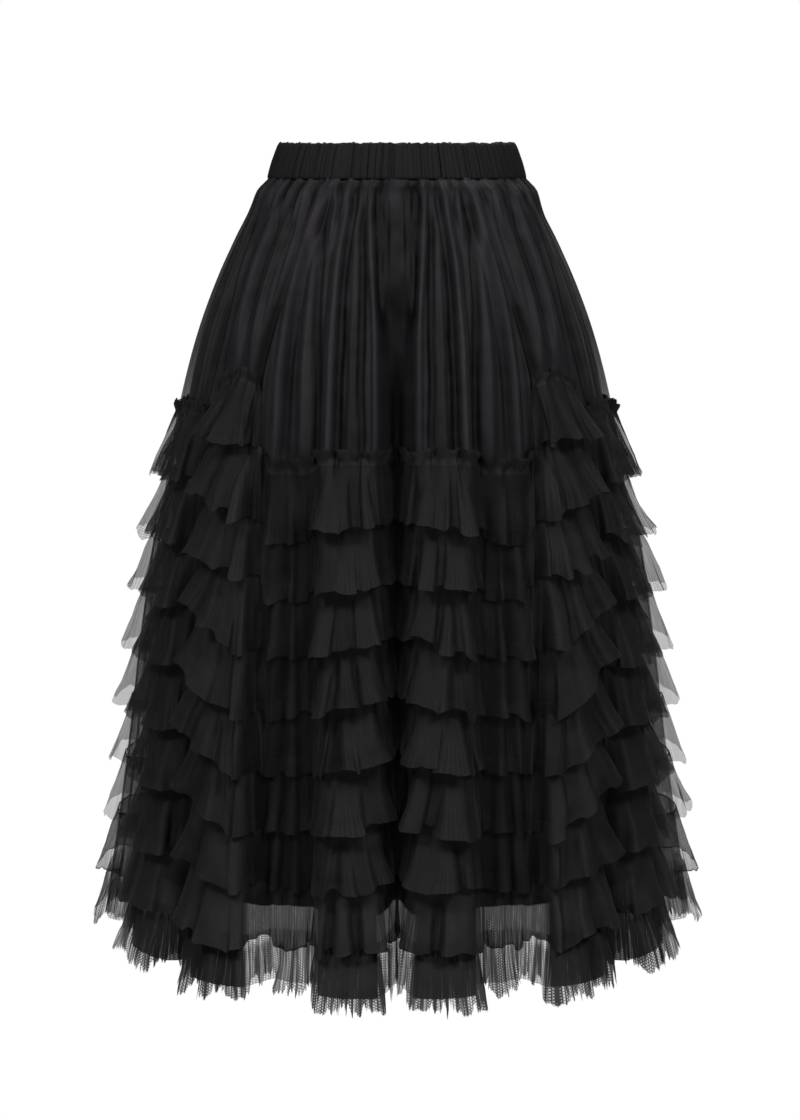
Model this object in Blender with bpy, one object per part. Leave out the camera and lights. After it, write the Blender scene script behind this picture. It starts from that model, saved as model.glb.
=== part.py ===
"""A tulle skirt, held open as it is when worn.

An elastic waistband carries a gathered tulle overskirt and a shorter plain lining. Nine flared tulle
ruffles run round the overskirt, and a short extra one tops each of its two side-front folds.

+Z is up, +X is the wearer's left and -Y is the front. The origin is the middle of the waistband, where
the waist holds it. Heights in the tables are metres down from the waistband's top edge.
"""

from collections import namedtuple

import bmesh
import bpy
import numpy as np

# Driving dimensions, in metres.
LENGTH = 0.775
BAND_HEIGHT = 0.034
TIERS = 9
RUFFLE_OVERLAP = 0.008
OVERSKIRT_TOP = 0.0346
OVERSKIRT_LENGTH = 0.770
LINING_TOP = 0.0366
LINING_LENGTH = 0.703
SEAM_GAP = 0.0003

BAND_WALL = 0.0032
OVERSKIRT_WALL = 0.0014
RUFFLE_WALL = 0.0012
LINING_WALL = 0.0012

# The large folds start flat at the waist and are this steep in growing towards the hem.
FOLD_GROWTH = 1.3
CROWN = 0.004
CROWN_GATHER = -0.35
LOBE_LIFT = 0.005

# A ruffle stands off the skirt by its ease all round, and by its fold's flare as well on the folds.
EASE = 0.0032
CORNER_FLARE_SHARE = 0.9
MID_FLARE_SHARE = 0.45
HEADING_HEIGHT = 0.009
COVERED_HEADING = 0.002
HEADING_SLOPE = 0.25
TOP_RUFFLE_OVERLAP = 0.005

# The waistband's puckers, each of three columns of points.
PUCKERS = 22
PUCKER_DEPTHS = (0.0010, 0.0002, -0.0011)
PUCKER_SCALLOP = 0.0009

Section = namedtuple("Section", "height half_width half_depth")
BAND_SECTIONS = (
    Section(0.0000, 0.1150, 0.0880),
    Section(0.0170, 0.1215, 0.0925),
    Section(0.0340, 0.1265, 0.0965),
)
SKIRT_SECTIONS = (
    Section(0.0343, 0.1275, 0.0975),
    Section(0.0420, 0.1340, 0.1030),
    Section(0.0600, 0.1445, 0.1110),
    Section(0.1000, 0.1660, 0.1290),
    Section(0.1600, 0.1905, 0.1510),
    Section(0.2500, 0.2145, 0.1770),
    Section(0.3200, 0.2260, 0.1920),
    Section(0.4000, 0.2350, 0.2060),
    Section(0.5000, 0.2460, 0.2210),
    Section(0.6000, 0.2550, 0.2360),
    Section(0.7000, 0.2660, 0.2510),
    Section(0.7750, 0.2750, 0.2620),
)

# How deep the small gathers of the overskirt are at each height.
Gather = namedtuple("Gather", "height depth")
GATHERS = (
    Gather(0.0343, 0.0008),
    Gather(0.0600, 0.0022),
    Gather(0.1100, 0.0034),
    Gather(0.1900, 0.0034),
    Gather(0.2900, 0.0012),
    Gather(0.7750, 0.0006),
)

# The lining hangs this far inside the overskirt's plain sections.
Inset = namedtuple("Inset", "height depth")
LINING_INSETS = (
    Inset(0.0343, 0.0042),
    Inset(0.1100, 0.0072),
    Inset(0.3000, 0.0078),
    Inset(0.7030, 0.0110),
)

# Folds on the right-hand half, front to back, in degrees round from the front. Each has its middle and
# half its width at the waist and at the hem, how far it stands out at the hem, how far its ruffles
# flare, and the height of its first ruffle's seam. Then comes the groove behind it: how far in it lies
# at the hem, and where its floor starts and ends, as shares of the way to the next fold.
Fold = namedtuple(
    "Fold",
    "name at_waist at_hem half_waist half_hem reach flare first_seam groove floor_from floor_to",
)
FOLDS = (
    Fold("front", 13.0, 8.6, 4.6, 5.0, 0.024, 0.018, 0.288, -0.010, 0.50, 0.50),
    Fold("front_small", 29.5, 21.2, 4.0, 2.6, -0.003, 0.007, 0.299, -0.009, 0.40, 0.40),
    Fold("side_front", 47.0, 34.3, 5.2, 5.4, 0.026, 0.018, 0.272, -0.024, 0.50, 0.50),
    Fold("front_side", 67.0, 58.5, 5.8, 7.0, 0.010, 0.014, 0.252, -0.009, 0.34, 0.66),
    Fold("side", 91.0, 92.0, 6.0, 7.5, 0.018, 0.011, 0.262, -0.010, 0.34, 0.66),
    Fold("back_side", 115.0, 121.0, 5.8, 7.0, 0.012, 0.015, 0.256, -0.018, 0.40, 0.60),
    Fold("side_back", 138.0, 145.5, 5.6, 6.5, 0.024, 0.018, 0.272, -0.012, 0.36, 0.64),
    Fold("back", 163.0, 168.0, 5.2, 5.6, 0.022, 0.018, 0.288, -0.020, 0.36, 0.64),
)
FRONT_GROOVE = -0.020

# Heights of the overskirt's points above its first ruffle seam, and of the lining's.
OVERSKIRT_ROWS = (OVERSKIRT_TOP, 0.0480, 0.0750, 0.1200, 0.1850)
LINING_ROWS = (LINING_TOP, 0.0700, 0.1400, 0.2500, 0.4000, 0.5500, LINING_LENGTH)

# The extra ruffle's seam runs from the groove in front of the side-front fold to the one behind it.
TOP_RUFFLE_FOLD = "side_front"
TOP_RUFFLE_SEAM = (0.240, 0.224, 0.218, 0.225, 0.235)
TOP_RUFFLE_RISE = 0.048

TULLE_BLACK = (0.012, 0.012, 0.013, 1.0)
SATIN_BLACK = (0.014, 0.013, 0.015, 1.0)

# A line of points down the skirt. Its gather is 1 where the cloth is drawn out and -1 where drawn in.
Column = namedtuple(
    "Column", "fold part at_waist at_hem reach gather flare first_seam lift"
)


def height_to_z(height):
    return BAND_HEIGHT / 2 - height


def eased(height, rows, field):
    """A smooth curve through one column of a table whose rows are in order of height."""
    heights = np.array([row.height for row in rows])
    values = np.array([getattr(row, field) for row in rows])
    slopes = np.gradient(values, heights)
    height = np.clip(height, heights[0], heights[-1])
    start = np.clip(np.searchsorted(heights, height) - 1, 0, len(heights) - 2)
    span = heights[start + 1] - heights[start]
    share = (height - heights[start]) / span
    rise = share * share * (3 - 2 * share)
    leaving = share * (1 - share) ** 2 * span
    arriving = share**2 * (share - 1) * span
    between = values[start] * (1 - rise) + values[start + 1] * rise
    return between + slopes[start] * leaving + slopes[start + 1] * arriving


def folds_all_round():
    """Every fold as (fold, side, groove behind it), going round from the front by the right."""
    right = [(fold, 1, fold) for fold in FOLDS]
    front = FOLDS[0]._replace(groove=FRONT_GROOVE)
    behind = FOLDS[-2::-1] + (front,)
    left = [(fold, -1, groove) for fold, groove in zip(FOLDS[::-1], behind)]
    return right + left


def edge_azimuth(fold, side, edge, where):
    """The azimuth of a fold's first (-1), middle (0) or last (1) line, going round."""
    middle = getattr(fold, "at_" + where)
    half = getattr(fold, "half_" + where)
    return (middle if side > 0 else 360 - middle) + edge * half


def lobe_columns(fold, side):
    """A fold's two corners and the crown between them."""
    for part, edge, crown, gather, flare in (
        ("first", -1, 0.0, 1.0, CORNER_FLARE_SHARE),
        ("middle", 0, CROWN, CROWN_GATHER, 1.0),
        ("last", 1, 0.0, 1.0, CORNER_FLARE_SHARE),
    ):
        yield Column(
            fold.name,
            part,
            edge_azimuth(fold, side, edge, "waist"),
            edge_azimuth(fold, side, edge, "hem"),
            fold.reach + crown,
            gather,
            fold.flare * flare,
            fold.first_seam,
            LOBE_LIFT,
        )


def groove_columns(fold, side, after, after_side, groove):
    """The floor of the groove between a fold and the one after it, or its one line."""
    turn = 360 if after_side > side else 0
    shares = sorted({groove.floor_from, groove.floor_to})
    if side < 0:
        shares = [1 - share for share in shares[::-1]]
    for share in shares:
        azimuths = []
        for where in ("waist", "hem"):
            first = edge_azimuth(fold, side, 1, where)
            last = edge_azimuth(after, after_side, -1, where) + turn
            azimuths.append(first + (last - first) * share)
        seam = fold.first_seam + (after.first_seam - fold.first_seam) * share
        yield Column(fold.name, "groove", *azimuths, groove.groove, -1.0, 0.0, seam, 0.0)


def skirt_columns():
    """Lines of points all round, three for each fold and one or two for each groove."""
    ring = folds_all_round()
    columns = []
    for index, (fold, side, groove) in enumerate(ring):
        after, after_side, _ = ring[(index + 1) % len(ring)]
        columns.extend(lobe_columns(fold, side))
        columns.extend(groove_columns(fold, side, after, after_side, groove))
    return columns


COLUMNS = skirt_columns()


def field(name):
    return np.array([getattr(column, name) for column in COLUMNS])


def column_places(height):
    """Each column's azimuth at a height, and how much of the hem's fold depth there is."""
    share = np.clip((height - BAND_HEIGHT) / (LENGTH - BAND_HEIGHT), 0, 1)
    start, end = field("at_waist"), field("at_hem")
    return start + (end - start) * share, share**FOLD_GROWTH


def section_points(height, azimuth, sections, swell):
    """Points on the plain oval at a height, moved out by swell along the oval's own normal."""
    half_width = eased(height, sections, "half_width")
    half_depth = eased(height, sections, "half_depth")
    sine, cosine = np.sin(np.radians(azimuth)), np.cos(np.radians(azimuth))
    outward = np.stack([half_depth * sine, -half_width * cosine], axis=-1)
    outward /= np.linalg.norm(outward, axis=-1, keepdims=True)
    flat = np.stack([half_width * sine, -half_depth * cosine], axis=-1)
    flat = flat + outward * swell[..., None]
    z = height_to_z(height) + np.zeros_like(sine)
    return np.concatenate([flat, z[..., None]], axis=-1)


def overskirt_row(heights):
    """The overskirt's points along one line round it, at a height for each column."""
    azimuth, grown = column_places(heights)
    swell = field("reach") * grown
    swell = swell + field("gather") * eased(heights, GATHERS, "depth")
    return section_points(heights, azimuth, SKIRT_SECTIONS, swell)


def lining_row(heights):
    """The lining's points: it drops into the grooves and runs straight across behind the folds."""
    azimuth, grown = column_places(heights)
    swell = np.minimum(field("reach"), 0) * grown
    swell = swell - eased(heights, LINING_INSETS, "depth")
    return section_points(heights, azimuth, SKIRT_SECTIONS, swell)


def seam_heights(tier):
    """The height of a ruffle's gathered seam along each column. Tier 0 is the first ruffle."""
    first = field("first_seam")
    return first + (LENGTH - first) * tier / TIERS


def top_ruffle_columns():
    """The columns under each extra ruffle, right then left."""
    corners = [
        index
        for index, column in enumerate(COLUMNS)
        if column.fold == TOP_RUFFLE_FOLD and column.part == "first"
    ]
    return [list(range(at - 1, at + 4)) for at in corners]


def top_seam_heights():
    """The heights of the extra ruffles' seams, and of a line that joins them round the skirt."""
    right, left = top_ruffle_columns()
    heights = seam_heights(0) - TOP_RUFFLE_RISE
    heights[right] = TOP_RUFFLE_SEAM
    heights[left] = TOP_RUFFLE_SEAM[::-1]
    return heights


def overskirt_heights():
    """The heights of the overskirt's rows from its top to its hem, and of one past it."""
    levels = [np.full(len(COLUMNS), height) for height in OVERSKIRT_ROWS]
    levels.append(top_seam_heights())
    levels += [seam_heights(tier) for tier in range(TIERS)]
    for height in (OVERSKIRT_LENGTH, LENGTH + RUFFLE_OVERLAP):
        levels.append(np.full(len(COLUMNS), height))
    return np.array(levels)


def on_overskirt(wanted):
    """Points on the overskirt's flat faces, at a height for each column."""
    heights = overskirt_heights()
    rows = np.array([overskirt_row(height) for height in heights])
    points = rows[0].copy()
    for index, height in enumerate(wanted):
        for axis in range(3):
            along = rows[:, index, axis]
            points[index, axis] = np.interp(height, heights[:, index], along)
    return points


def unit(vectors):
    return vectors / np.linalg.norm(vectors, axis=1, keepdims=True)


def sideways(row):
    """The level step at each point of a closed row that moves the edges beside it out by one."""
    edges = np.roll(row, -1, axis=0)[:, :2] - row[:, :2]
    after = unit(np.stack([edges[:, 1], -edges[:, 0]], axis=1))
    before = np.roll(after, 1, axis=0)
    step = (after + before) / (1 + (after * before).sum(axis=1, keepdims=True))
    return np.pad(step, ((0, 0), (0, 1)))


def material(name, colour, roughness):
    made = bpy.data.materials.new(name)
    made.use_nodes = True
    shader = made.node_tree.nodes["Principled BSDF"]
    shader.inputs["Base Color"].default_value = colour
    shader.inputs["Roughness"].default_value = roughness
    shader.inputs["Metallic"].default_value = 0.0
    return made


def cloth_wall(name, rows, thickness, finish, closed, offset=-1.0):
    """One piece of cloth: a grid laid through rows of points, given a wall by Solidify."""
    rows = np.array(rows)
    if closed:
        rows = np.concatenate([rows, rows[:, :1]], axis=1)
    down, across = rows.shape[:2]
    mesh = bpy.data.meshes.new(name)
    grid = bmesh.new()
    bmesh.ops.create_grid(grid, x_segments=across - 1, y_segments=down - 1, size=1)
    grid.verts.ensure_lookup_table()
    for vert, point in zip(grid.verts, rows[::-1].reshape(-1, 3)):
        vert.co = point
    if closed:
        bmesh.ops.remove_doubles(grid, verts=grid.verts, dist=1e-6)
    grid.to_mesh(mesh)
    grid.free()
    mesh.shade_smooth()
    mesh.materials.append(finish)
    piece = bpy.data.objects.new(name, mesh)
    bpy.context.scene.collection.objects.link(piece)
    wall = piece.modifiers.new("wall", "SOLIDIFY")
    wall.thickness = thickness
    wall.offset = offset
    wall.use_even_offset = True
    return piece


def waistband(finish):
    """The elastic casing, drawn up into upright puckers."""
    depths = np.tile(PUCKER_DEPTHS, PUCKERS)
    azimuth = np.arange(len(depths)) * 360 / len(depths)
    rows = []
    for section in BAND_SECTIONS:
        height = np.full(len(depths), section.height)
        if section is BAND_SECTIONS[0]:
            height = height - depths / PUCKER_DEPTHS[0] * PUCKER_SCALLOP
        rows.append(section_points(height.clip(0), azimuth, BAND_SECTIONS, depths))
        rows[-1][:, 2] = height_to_z(height)
    return cloth_wall("waistband", rows, BAND_WALL, finish, closed=True)


def side_seam_columns():
    """The column that each side seam runs down, right then left."""
    crowns = [
        index
        for index, column in enumerate(COLUMNS)
        if column.fold == "side" and column.part == "middle"
    ]
    return crowns[0], crowns[1]


def panel(rows, back, dropped=()):
    """One panel's part of closed rows, its end lines drawn back from the side seams."""
    right, left = side_seam_columns()
    chosen = list(range(right, left + 1))
    if not back:
        chosen = list(range(left, len(COLUMNS))) + list(range(right + 1))
    kept = [chosen[0], *(i for i in chosen[1:-1] if i not in dropped), chosen[-1]]
    cut = np.array(rows)[:, kept]
    for end, inside in ((0, 1), (-1, -2)):
        along = cut[:, inside] - cut[:, end]
        cut[:, end] += unit(along) * SEAM_GAP
    return cut


def overskirt(finish):
    """The front and back tulle panels, which the ruffles are sewn to."""
    rows = [overskirt_row(height) for height in overskirt_heights()[:-1]]
    for name, back in (("overskirt_front", False), ("overskirt_back", True)):
        cloth_wall(name, panel(rows, back), OVERSKIRT_WALL, finish, closed=False)


def lining(finish):
    """The plain under-skirt, shorter than the tulle."""
    rows = [lining_row(np.full(len(COLUMNS), height)) for height in LINING_ROWS]
    crowns = {i for i, column in enumerate(COLUMNS) if column.part == "middle"}
    for name, back in (("lining_front", False), ("lining_back", True)):
        cut = panel(rows, back, dropped=crowns)
        cloth_wall(name, cut, LINING_WALL, finish, closed=False)


def ruffle_rows(seam, hem, heading=None):
    """A ruffle from its seam, just off the overskirt, flaring to its hem."""
    lines = []
    if heading is not None:
        lines.append((seam - heading, heading * HEADING_SLOPE, 0))
    for share, flared in ((0.0, 0.0), (0.5, MID_FLARE_SHARE), (1.0, 1.0)):
        height = seam + (hem - seam) * share
        lines.append((height, (field("flare") + EASE) * flared, field("lift") * flared))
    rows = []
    for height, out, raised in lines:
        skirt = on_overskirt(height)
        step = sideways(skirt)
        outward = unit(unit(step) + unit(skirt * (1, 1, 0)))
        off = np.minimum(out, EASE)
        point = skirt + step * (SEAM_GAP + off)[:, None] + outward * (out - off)[:, None]
        point[:, 2] += raised
        rows.append(point)
    return rows


def ruffles(finish):
    """The nine ruffles that run all the way round. The first has a raw heading above its seam."""
    covered = sum(top_ruffle_columns(), [])
    heading = np.full(len(COLUMNS), HEADING_HEIGHT)
    heading[covered] = COVERED_HEADING
    for tier in range(TIERS):
        seam = seam_heights(tier)
        hem = seam_heights(tier + 1)
        if tier < TIERS - 1:
            hem = hem + RUFFLE_OVERLAP
        rows = ruffle_rows(seam, hem, heading if tier == 0 else None)
        cloth_wall(f"ruffle_{tier + 1}", rows, RUFFLE_WALL, finish, True, offset=1.0)


def top_ruffles(finish):
    """The short extra ruffle above the first one, on each side-front fold."""
    heading = np.full(len(COLUMNS), HEADING_HEIGHT)
    hem = seam_heights(0) + TOP_RUFFLE_OVERLAP
    rows = ruffle_rows(top_seam_heights(), hem, heading)
    for side, columns in zip(("right", "left"), top_ruffle_columns()):
        cut = [row[columns] for row in rows]
        cloth_wall(f"top_ruffle_{side}", cut, RUFFLE_WALL, finish, False, offset=1.0)


def clear_scene():
    for thing in list(bpy.data.objects):
        bpy.data.objects.remove(thing)


def main():
    clear_scene()
    tulle = material("tulle", TULLE_BLACK, 0.75)
    satin = material("satin", SATIN_BLACK, 0.45)
    waistband(material("casing", SATIN_BLACK, 0.6))
    overskirt(tulle)
    lining(satin)
    ruffles(tulle)
    top_ruffles(tulle)


main()
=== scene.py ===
"""A black tiered tulle skirt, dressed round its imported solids.

The skirt is laid out from the same tables as its solids, with many more lines of points round
it. A gathered tulle overskirt hangs from an elastic casing over a satin lining. Nine ruffles run
round it, and a short extra one tops each of its two side-front folds.

+Z is up, +X is the wearer's left and -Y is the front. The origin is the middle of the waistband.
Heights in the tables are metres down from the waistband's top edge.
"""

from collections import namedtuple

import bmesh
import bpy
import numpy as np
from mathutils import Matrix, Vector


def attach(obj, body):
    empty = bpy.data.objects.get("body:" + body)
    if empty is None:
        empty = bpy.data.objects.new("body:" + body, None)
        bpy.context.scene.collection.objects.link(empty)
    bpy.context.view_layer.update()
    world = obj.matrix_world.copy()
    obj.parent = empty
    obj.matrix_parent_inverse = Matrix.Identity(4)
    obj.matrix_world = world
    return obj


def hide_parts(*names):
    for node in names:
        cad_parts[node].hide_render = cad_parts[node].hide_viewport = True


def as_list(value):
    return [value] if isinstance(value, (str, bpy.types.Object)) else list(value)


bl_info = {
    "name": "Tiered tulle skirt",
    "version": (1, 0, 0),
    "blender": (4, 5, 0),
    "location": "3D View > Sidebar > Tulle skirt",
    "description": "Lays out a gathered and ruffled tulle skirt round its solids",
    "category": "Add Mesh",
}

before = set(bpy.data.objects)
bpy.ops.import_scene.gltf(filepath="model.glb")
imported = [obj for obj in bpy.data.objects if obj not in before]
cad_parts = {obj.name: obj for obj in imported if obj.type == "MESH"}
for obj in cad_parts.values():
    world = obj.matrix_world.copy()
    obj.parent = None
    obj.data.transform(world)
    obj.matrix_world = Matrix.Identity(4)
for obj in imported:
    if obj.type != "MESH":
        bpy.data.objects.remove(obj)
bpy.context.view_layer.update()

# ---------------------------------------------------------------------------------------------
# The cut of the skirt, in metres and degrees, as its solids have it.

LENGTH = 0.775
BAND_HEIGHT = 0.034
TIERS = 9
RUFFLE_OVERLAP = 0.008
OVERSKIRT_TUCKED = 0.0322
OVERSKIRT_TOP = 0.0346
OVERSKIRT_LENGTH = 0.770
LINING_TOP = 0.0350
LINING_LENGTH = 0.703
FOLD_GROWTH = 1.3
CROWN = 0.004
CROWN_GATHER = -0.35
GROOVE_GATHER = -1.0
LOBE_LIFT = 0.005
EASE = 0.0032
CORNER_FLARE_SHARE = 0.9
HEADING_HEIGHT = 0.009
TOP_RUFFLE_OVERLAP = 0.005

Section = namedtuple("Section", "height half_width half_depth")
BAND_SECTIONS = (
    Section(0.0000, 0.1150, 0.0880),
    Section(0.0170, 0.1215, 0.0925),
    Section(0.0340, 0.1265, 0.0965),
)
SKIRT_SECTIONS = (
    Section(0.0343, 0.1275, 0.0975),
    Section(0.0420, 0.1340, 0.1030),
    Section(0.0600, 0.1445, 0.1110),
    Section(0.1000, 0.1660, 0.1290),
    Section(0.1600, 0.1905, 0.1510),
    Section(0.2500, 0.2145, 0.1770),
    Section(0.3200, 0.2260, 0.1920),
    Section(0.4000, 0.2350, 0.2060),
    Section(0.5000, 0.2460, 0.2210),
    Section(0.6000, 0.2550, 0.2360),
    Section(0.7000, 0.2660, 0.2510),
    Section(0.7750, 0.2750, 0.2620),
)

# How deep the broad gathers of the overskirt are at each height.
Gather = namedtuple("Gather", "height depth")
GATHERS = (
    Gather(0.0343, 0.0008),
    Gather(0.0600, 0.0022),
    Gather(0.1100, 0.0034),
    Gather(0.1900, 0.0034),
    Gather(0.2900, 0.0012),
    Gather(0.7750, 0.0006),
)

# The lining hangs this far inside the overskirt.
Inset = namedtuple("Inset", "height depth")
LINING_INSETS = (
    Inset(0.0343, 0.0080),
    Inset(0.0600, 0.0044),
    Inset(0.1100, 0.0034),
    Inset(0.2700, 0.0036),
    Inset(0.4500, 0.0050),
    Inset(0.7030, 0.0064),
)

# Folds on the right-hand half, front to back, in degrees round from the front. Each has its
# middle and half its width at the waist and at the hem, how far it stands out at the hem, how far
# its ruffles flare, the height of its first ruffle's seam, and how far its ruffles' first corner
# hangs below their middle. Then comes the groove behind it: how far in it lies at the hem, and
# where its floor starts and ends, as shares of the way to the next fold.
Fold = namedtuple(
    "Fold",
    "name at_waist at_hem half_waist half_hem reach flare first_seam slant "
    "groove floor_from floor_to",
)
FOLDS = (
    Fold("front", 13.0, 8.6, 4.6, 5.0, 0.024, 0.018, 0.288, -0.006, -0.010, 0.50, 0.50),
    Fold("front_small", 29.5, 21.2, 4.0, 2.6, -0.003, 0.007, 0.299, -0.001, -0.009, 0.40, 0.40),
    Fold("side_front", 47.0, 34.3, 5.2, 5.4, 0.026, 0.018, 0.272, 0.017, -0.024, 0.50, 0.50),
    Fold("front_side", 67.0, 58.5, 5.8, 7.0, 0.010, 0.014, 0.252, 0.001, -0.009, 0.34, 0.66),
    Fold("side", 91.0, 92.0, 6.0, 7.5, 0.018, 0.011, 0.262, 0.000, -0.010, 0.34, 0.66),
    Fold("back_side", 115.0, 121.0, 5.8, 7.0, 0.012, 0.015, 0.256, -0.002, -0.018, 0.40, 0.60),
    Fold("side_back", 138.0, 145.5, 5.6, 6.5, 0.024, 0.018, 0.272, -0.014, -0.012, 0.36, 0.64),
    Fold("back", 163.0, 168.0, 5.2, 5.6, 0.022, 0.018, 0.288, 0.006, -0.020, 0.36, 0.64),
)
FRONT_GROOVE = -0.020

# How much of each fold's slant each ruffle has, from the first down.
SLANT_SHARES = (0.50, 0.35, 1.00, 1.25, 1.00, 1.00, 0.60, 0.25, 0.00)
SEAM_SLANT = 0.8
HEM_SLANT = 1.2

# How far the hems of a fold's ruffles sag below their neighbours'.
SAGS = {"front_small": 0.011}

# The short extra ruffles: their fold, the heights of their seam across it, how far above the
# first ruffle's seam that line runs elsewhere, how much of the fold's slant their hem has, and
# their ends in columns before and after the fold's first one.
TOP_RUFFLE_FOLD = "side_front"
TOP_RUFFLE_SEAM = (0.240, 0.224, 0.218, 0.225, 0.235)
TOP_RUFFLE_RISE = 0.048
TOP_RUFFLE_SLANT = 0.15
TOP_RUFFLE_ENDS = (("right", 0.5, 3.0), ("left", 1.0, 2.5))

# ---------------------------------------------------------------------------------------------
# What the solids leave out: the cloth's own pleats, gathers and creases.

LINES = 1200
LINING_LINES = 600
LINING_WALL = 0.0008

# Each piece's cut, laid flat: its width and its depth.
CASING_CUT = (0.740, 0.035)
OVERSKIRT_CUT = (0.950, 0.760)
LINING_CUT = (0.850, 0.680)
TOP_RUFFLE_CUT = (0.104, 0.077)
RUFFLE_CUTS = (
    (2.45, 0.077), (2.55, 0.067), (2.70, 0.067), (2.80, 0.066), (2.95, 0.066),
    (3.00, 0.066), (2.95, 0.066), (2.80, 0.066), (3.15, 0.060),
)

# Pleats of the overskirt above the ruffles, on the right-hand half from the front. Each has its
# azimuth at the first few of the levels, half its width, how far it stands out (or, below 0,
# sinks in), and the heights where it starts, reaches its depth and ends.
PLEAT_LEVELS = (0.039, 0.058, 0.081, 0.108, 0.145, 0.181, 0.217, 0.263, 0.700)
Pleat = namedtuple("Pleat", "azimuths half_width depth start full end")
PLEATS = (
    Pleat((1.2, 1.4, 1.3, 1.5, 1.1), 0.0035, 0.0028, 0.030, 0.055, 0.170),
    Pleat((8.6, 7.8, 5.0, 4.6), 0.0060, -0.0034, 0.028, 0.045, 0.120),
    Pleat((8.6, 7.8, 5.5, 5.3, 4.9, 3.7), 0.0034, -0.0030, 0.085, 0.110, 0.200),
    Pleat((10.6, 10.1, 9.3, 8.2, 6.6, 5.9, 5.6, 5.3), 0.0034, 0.0050, 0.028, 0.060, 0.335),
    Pleat((12.7, 12.0, 11.7, 10.4, 9.5, 8.9, 8.8, 8.0), 0.0036, -0.0030, 0.028, 0.045, 0.320),
    Pleat((14.0, 13.6, 13.8, 13.0, 12.2, 12.0, 11.4, 11.3), 0.0036, 0.0022, 0.028, 0.055, 0.320),
    Pleat((16.9, 15.7, 16.3, 15.9, 15.5, 14.7, 14.6, 14.0), 0.0040, -0.0034, 0.028, 0.045, 0.320),
    Pleat((19.5, 18.7, 18.9, 19.6, 18.8, 18.6, 17.7, 17.3), 0.0052, 0.0064, 0.026, 0.060, 0.335),
    Pleat((23.1, 21.3, 21.1, 20.6), 0.0022, -0.0024, 0.028, 0.045, 0.100),
    Pleat((25.8, 23.9, 23.3, 21.5), 0.0036, 0.0044, 0.026, 0.055, 0.115),
    Pleat((28.1, 26.9, 26.4, 24.4, 23.2, 21.9, 20.8, 19.7), 0.0040, -0.0034, 0.028, 0.045, 0.320),
    Pleat((30.9, 29.9, 28.7, 27.2, 26.4, 25.8, 25.0, 23.9), 0.0052, 0.0042, 0.085, 0.120, 0.320),
    Pleat((32.4, 30.7, 30.0, 29.4, 29.7, 29.2, 28.8, 28.1), 0.0040, -0.0036, 0.085, 0.115, 0.320),
    Pleat((32.9, 32.5, 32.8, 32.8, 33.1, 33.1, 33.1, 32.1), 0.0060, 0.0092, 0.024, 0.060, 0.335),
    Pleat((36.9, 36.2, 34.9, 35.1, 36.0, 36.8, 37.4, 37.0), 0.0030, -0.0022, 0.028, 0.055, 0.330),
    Pleat((36.9, 36.2, 34.9, 35.1, 36.0, 36.8, 37.4, 37.0), 0.0050, -0.0042, 0.150, 0.230, 0.330),
    Pleat((39.6, 39.2, 37.5, 37.5, 38.3, 39.0), 0.0036, 0.0060, 0.030, 0.072, 0.165),
    Pleat((42.9, 41.7, 40.2, 40.8, 40.9, 40.4), 0.0030, -0.0028, 0.028, 0.045, 0.170),
    Pleat((45.3, 43.8, 43.1, 43.0, 43.4, 42.7, 42.2, 41.3), 0.0034, 0.0040, 0.028, 0.055, 0.215),
    Pleat((51.0, 50.0, 46.1, 46.2, 45.9, 45.4), 0.0034, -0.0028, 0.028, 0.045, 0.200),
    Pleat((60.0, 54.5, 52.1, 51.8, 50.9, 49.2, 48.4), 0.0050, 0.0042, 0.036, 0.060, 0.215),
    Pleat((67.0, 62.1, 60.0, 58.2, 56.6, 55.9, 56.0), 0.0036, -0.0044, 0.060, 0.100, 0.270),
    Pleat((74.0, 69.0, 66.6, 63.1, 62.1, 62.5, 61.4), 0.0080, 0.0026, 0.045, 0.080, 0.270),
    Pleat((81.0, 78.0, 76.0, 74.0, 71.0, 70.0), 0.0050, -0.0022, 0.050, 0.090, 0.270),
    Pleat((87.0, 85.0, 83.0, 81.0, 79.0, 77.0), 0.0070, 0.0014, 0.034, 0.070, 0.270),
)

# Sinks down the middle of the front, and how deep those behind are as a share of them.
MIDDLE_SINKS = (
    Pleat((0.0, 0.0), 0.0110, -0.0240, 0.110, 0.225, 0.760),
    Pleat((0.0, 0.0), 0.0060, -0.0100, 0.190, 0.280, 0.760),
)
BACK_SINKS = 0.5

# The hollow beside the front fold, on the right-hand half, and the shallow one at each side.
RECESS = Pleat(
    (26.0, 26.0, 26.0, 26.0, 25.5, 25.0, 24.5, 23.8, 21.4), 0.0150, -0.0110, 0.260, 0.400, 0.800
)
SIDE_HOLLOWS = (
    Pleat((90.0, 90.0), 0.0800, -0.0085, 0.034, 0.075, 0.400),
    Pleat((-90.0, -90.0), 0.0800, -0.0055, 0.034, 0.075, 0.400),
)

# How far the pleats in front and behind stray from their places, in degrees, and how their depths
# vary. The steepest turn is the greatest tangent with which a crest is turned in.
PLEAT_SEED = 11
PLEAT_STRAYS = (0.1, 0.9)
PLEAT_SIZES = (0.90, 1.10)
STEEPEST_TURN = 1.5

# A pleat reaches this many of its half widths to each side, as a power of a cosine, and ends over
# this length.
PLEAT_REACH = 1.5
CREST_POWER = 1.3
VALLEY_POWER = 2.0
PLEAT_END = 0.05

# A pleat deeper than this has a flat floor, and its slope takes up this share of its reach.
SINKS_FROM = -0.0095
SINK_SLOPE = 0.55

# Only pleats up to this half width paint light and shade on the net's colour. One that stands out
# or sinks in this far has the fullest painted highlight on its crest, or the darkest painted shade
# in its valley.
SMALL_PLEAT = 0.012
FULLEST_PAINTED_LIGHT = 0.0060
DARKEST_PAINTED_SHADE = 0.0032

# How much of the solids' broad gathers is left where these pleats are.
BROAD_GATHERS = 0.2

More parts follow.
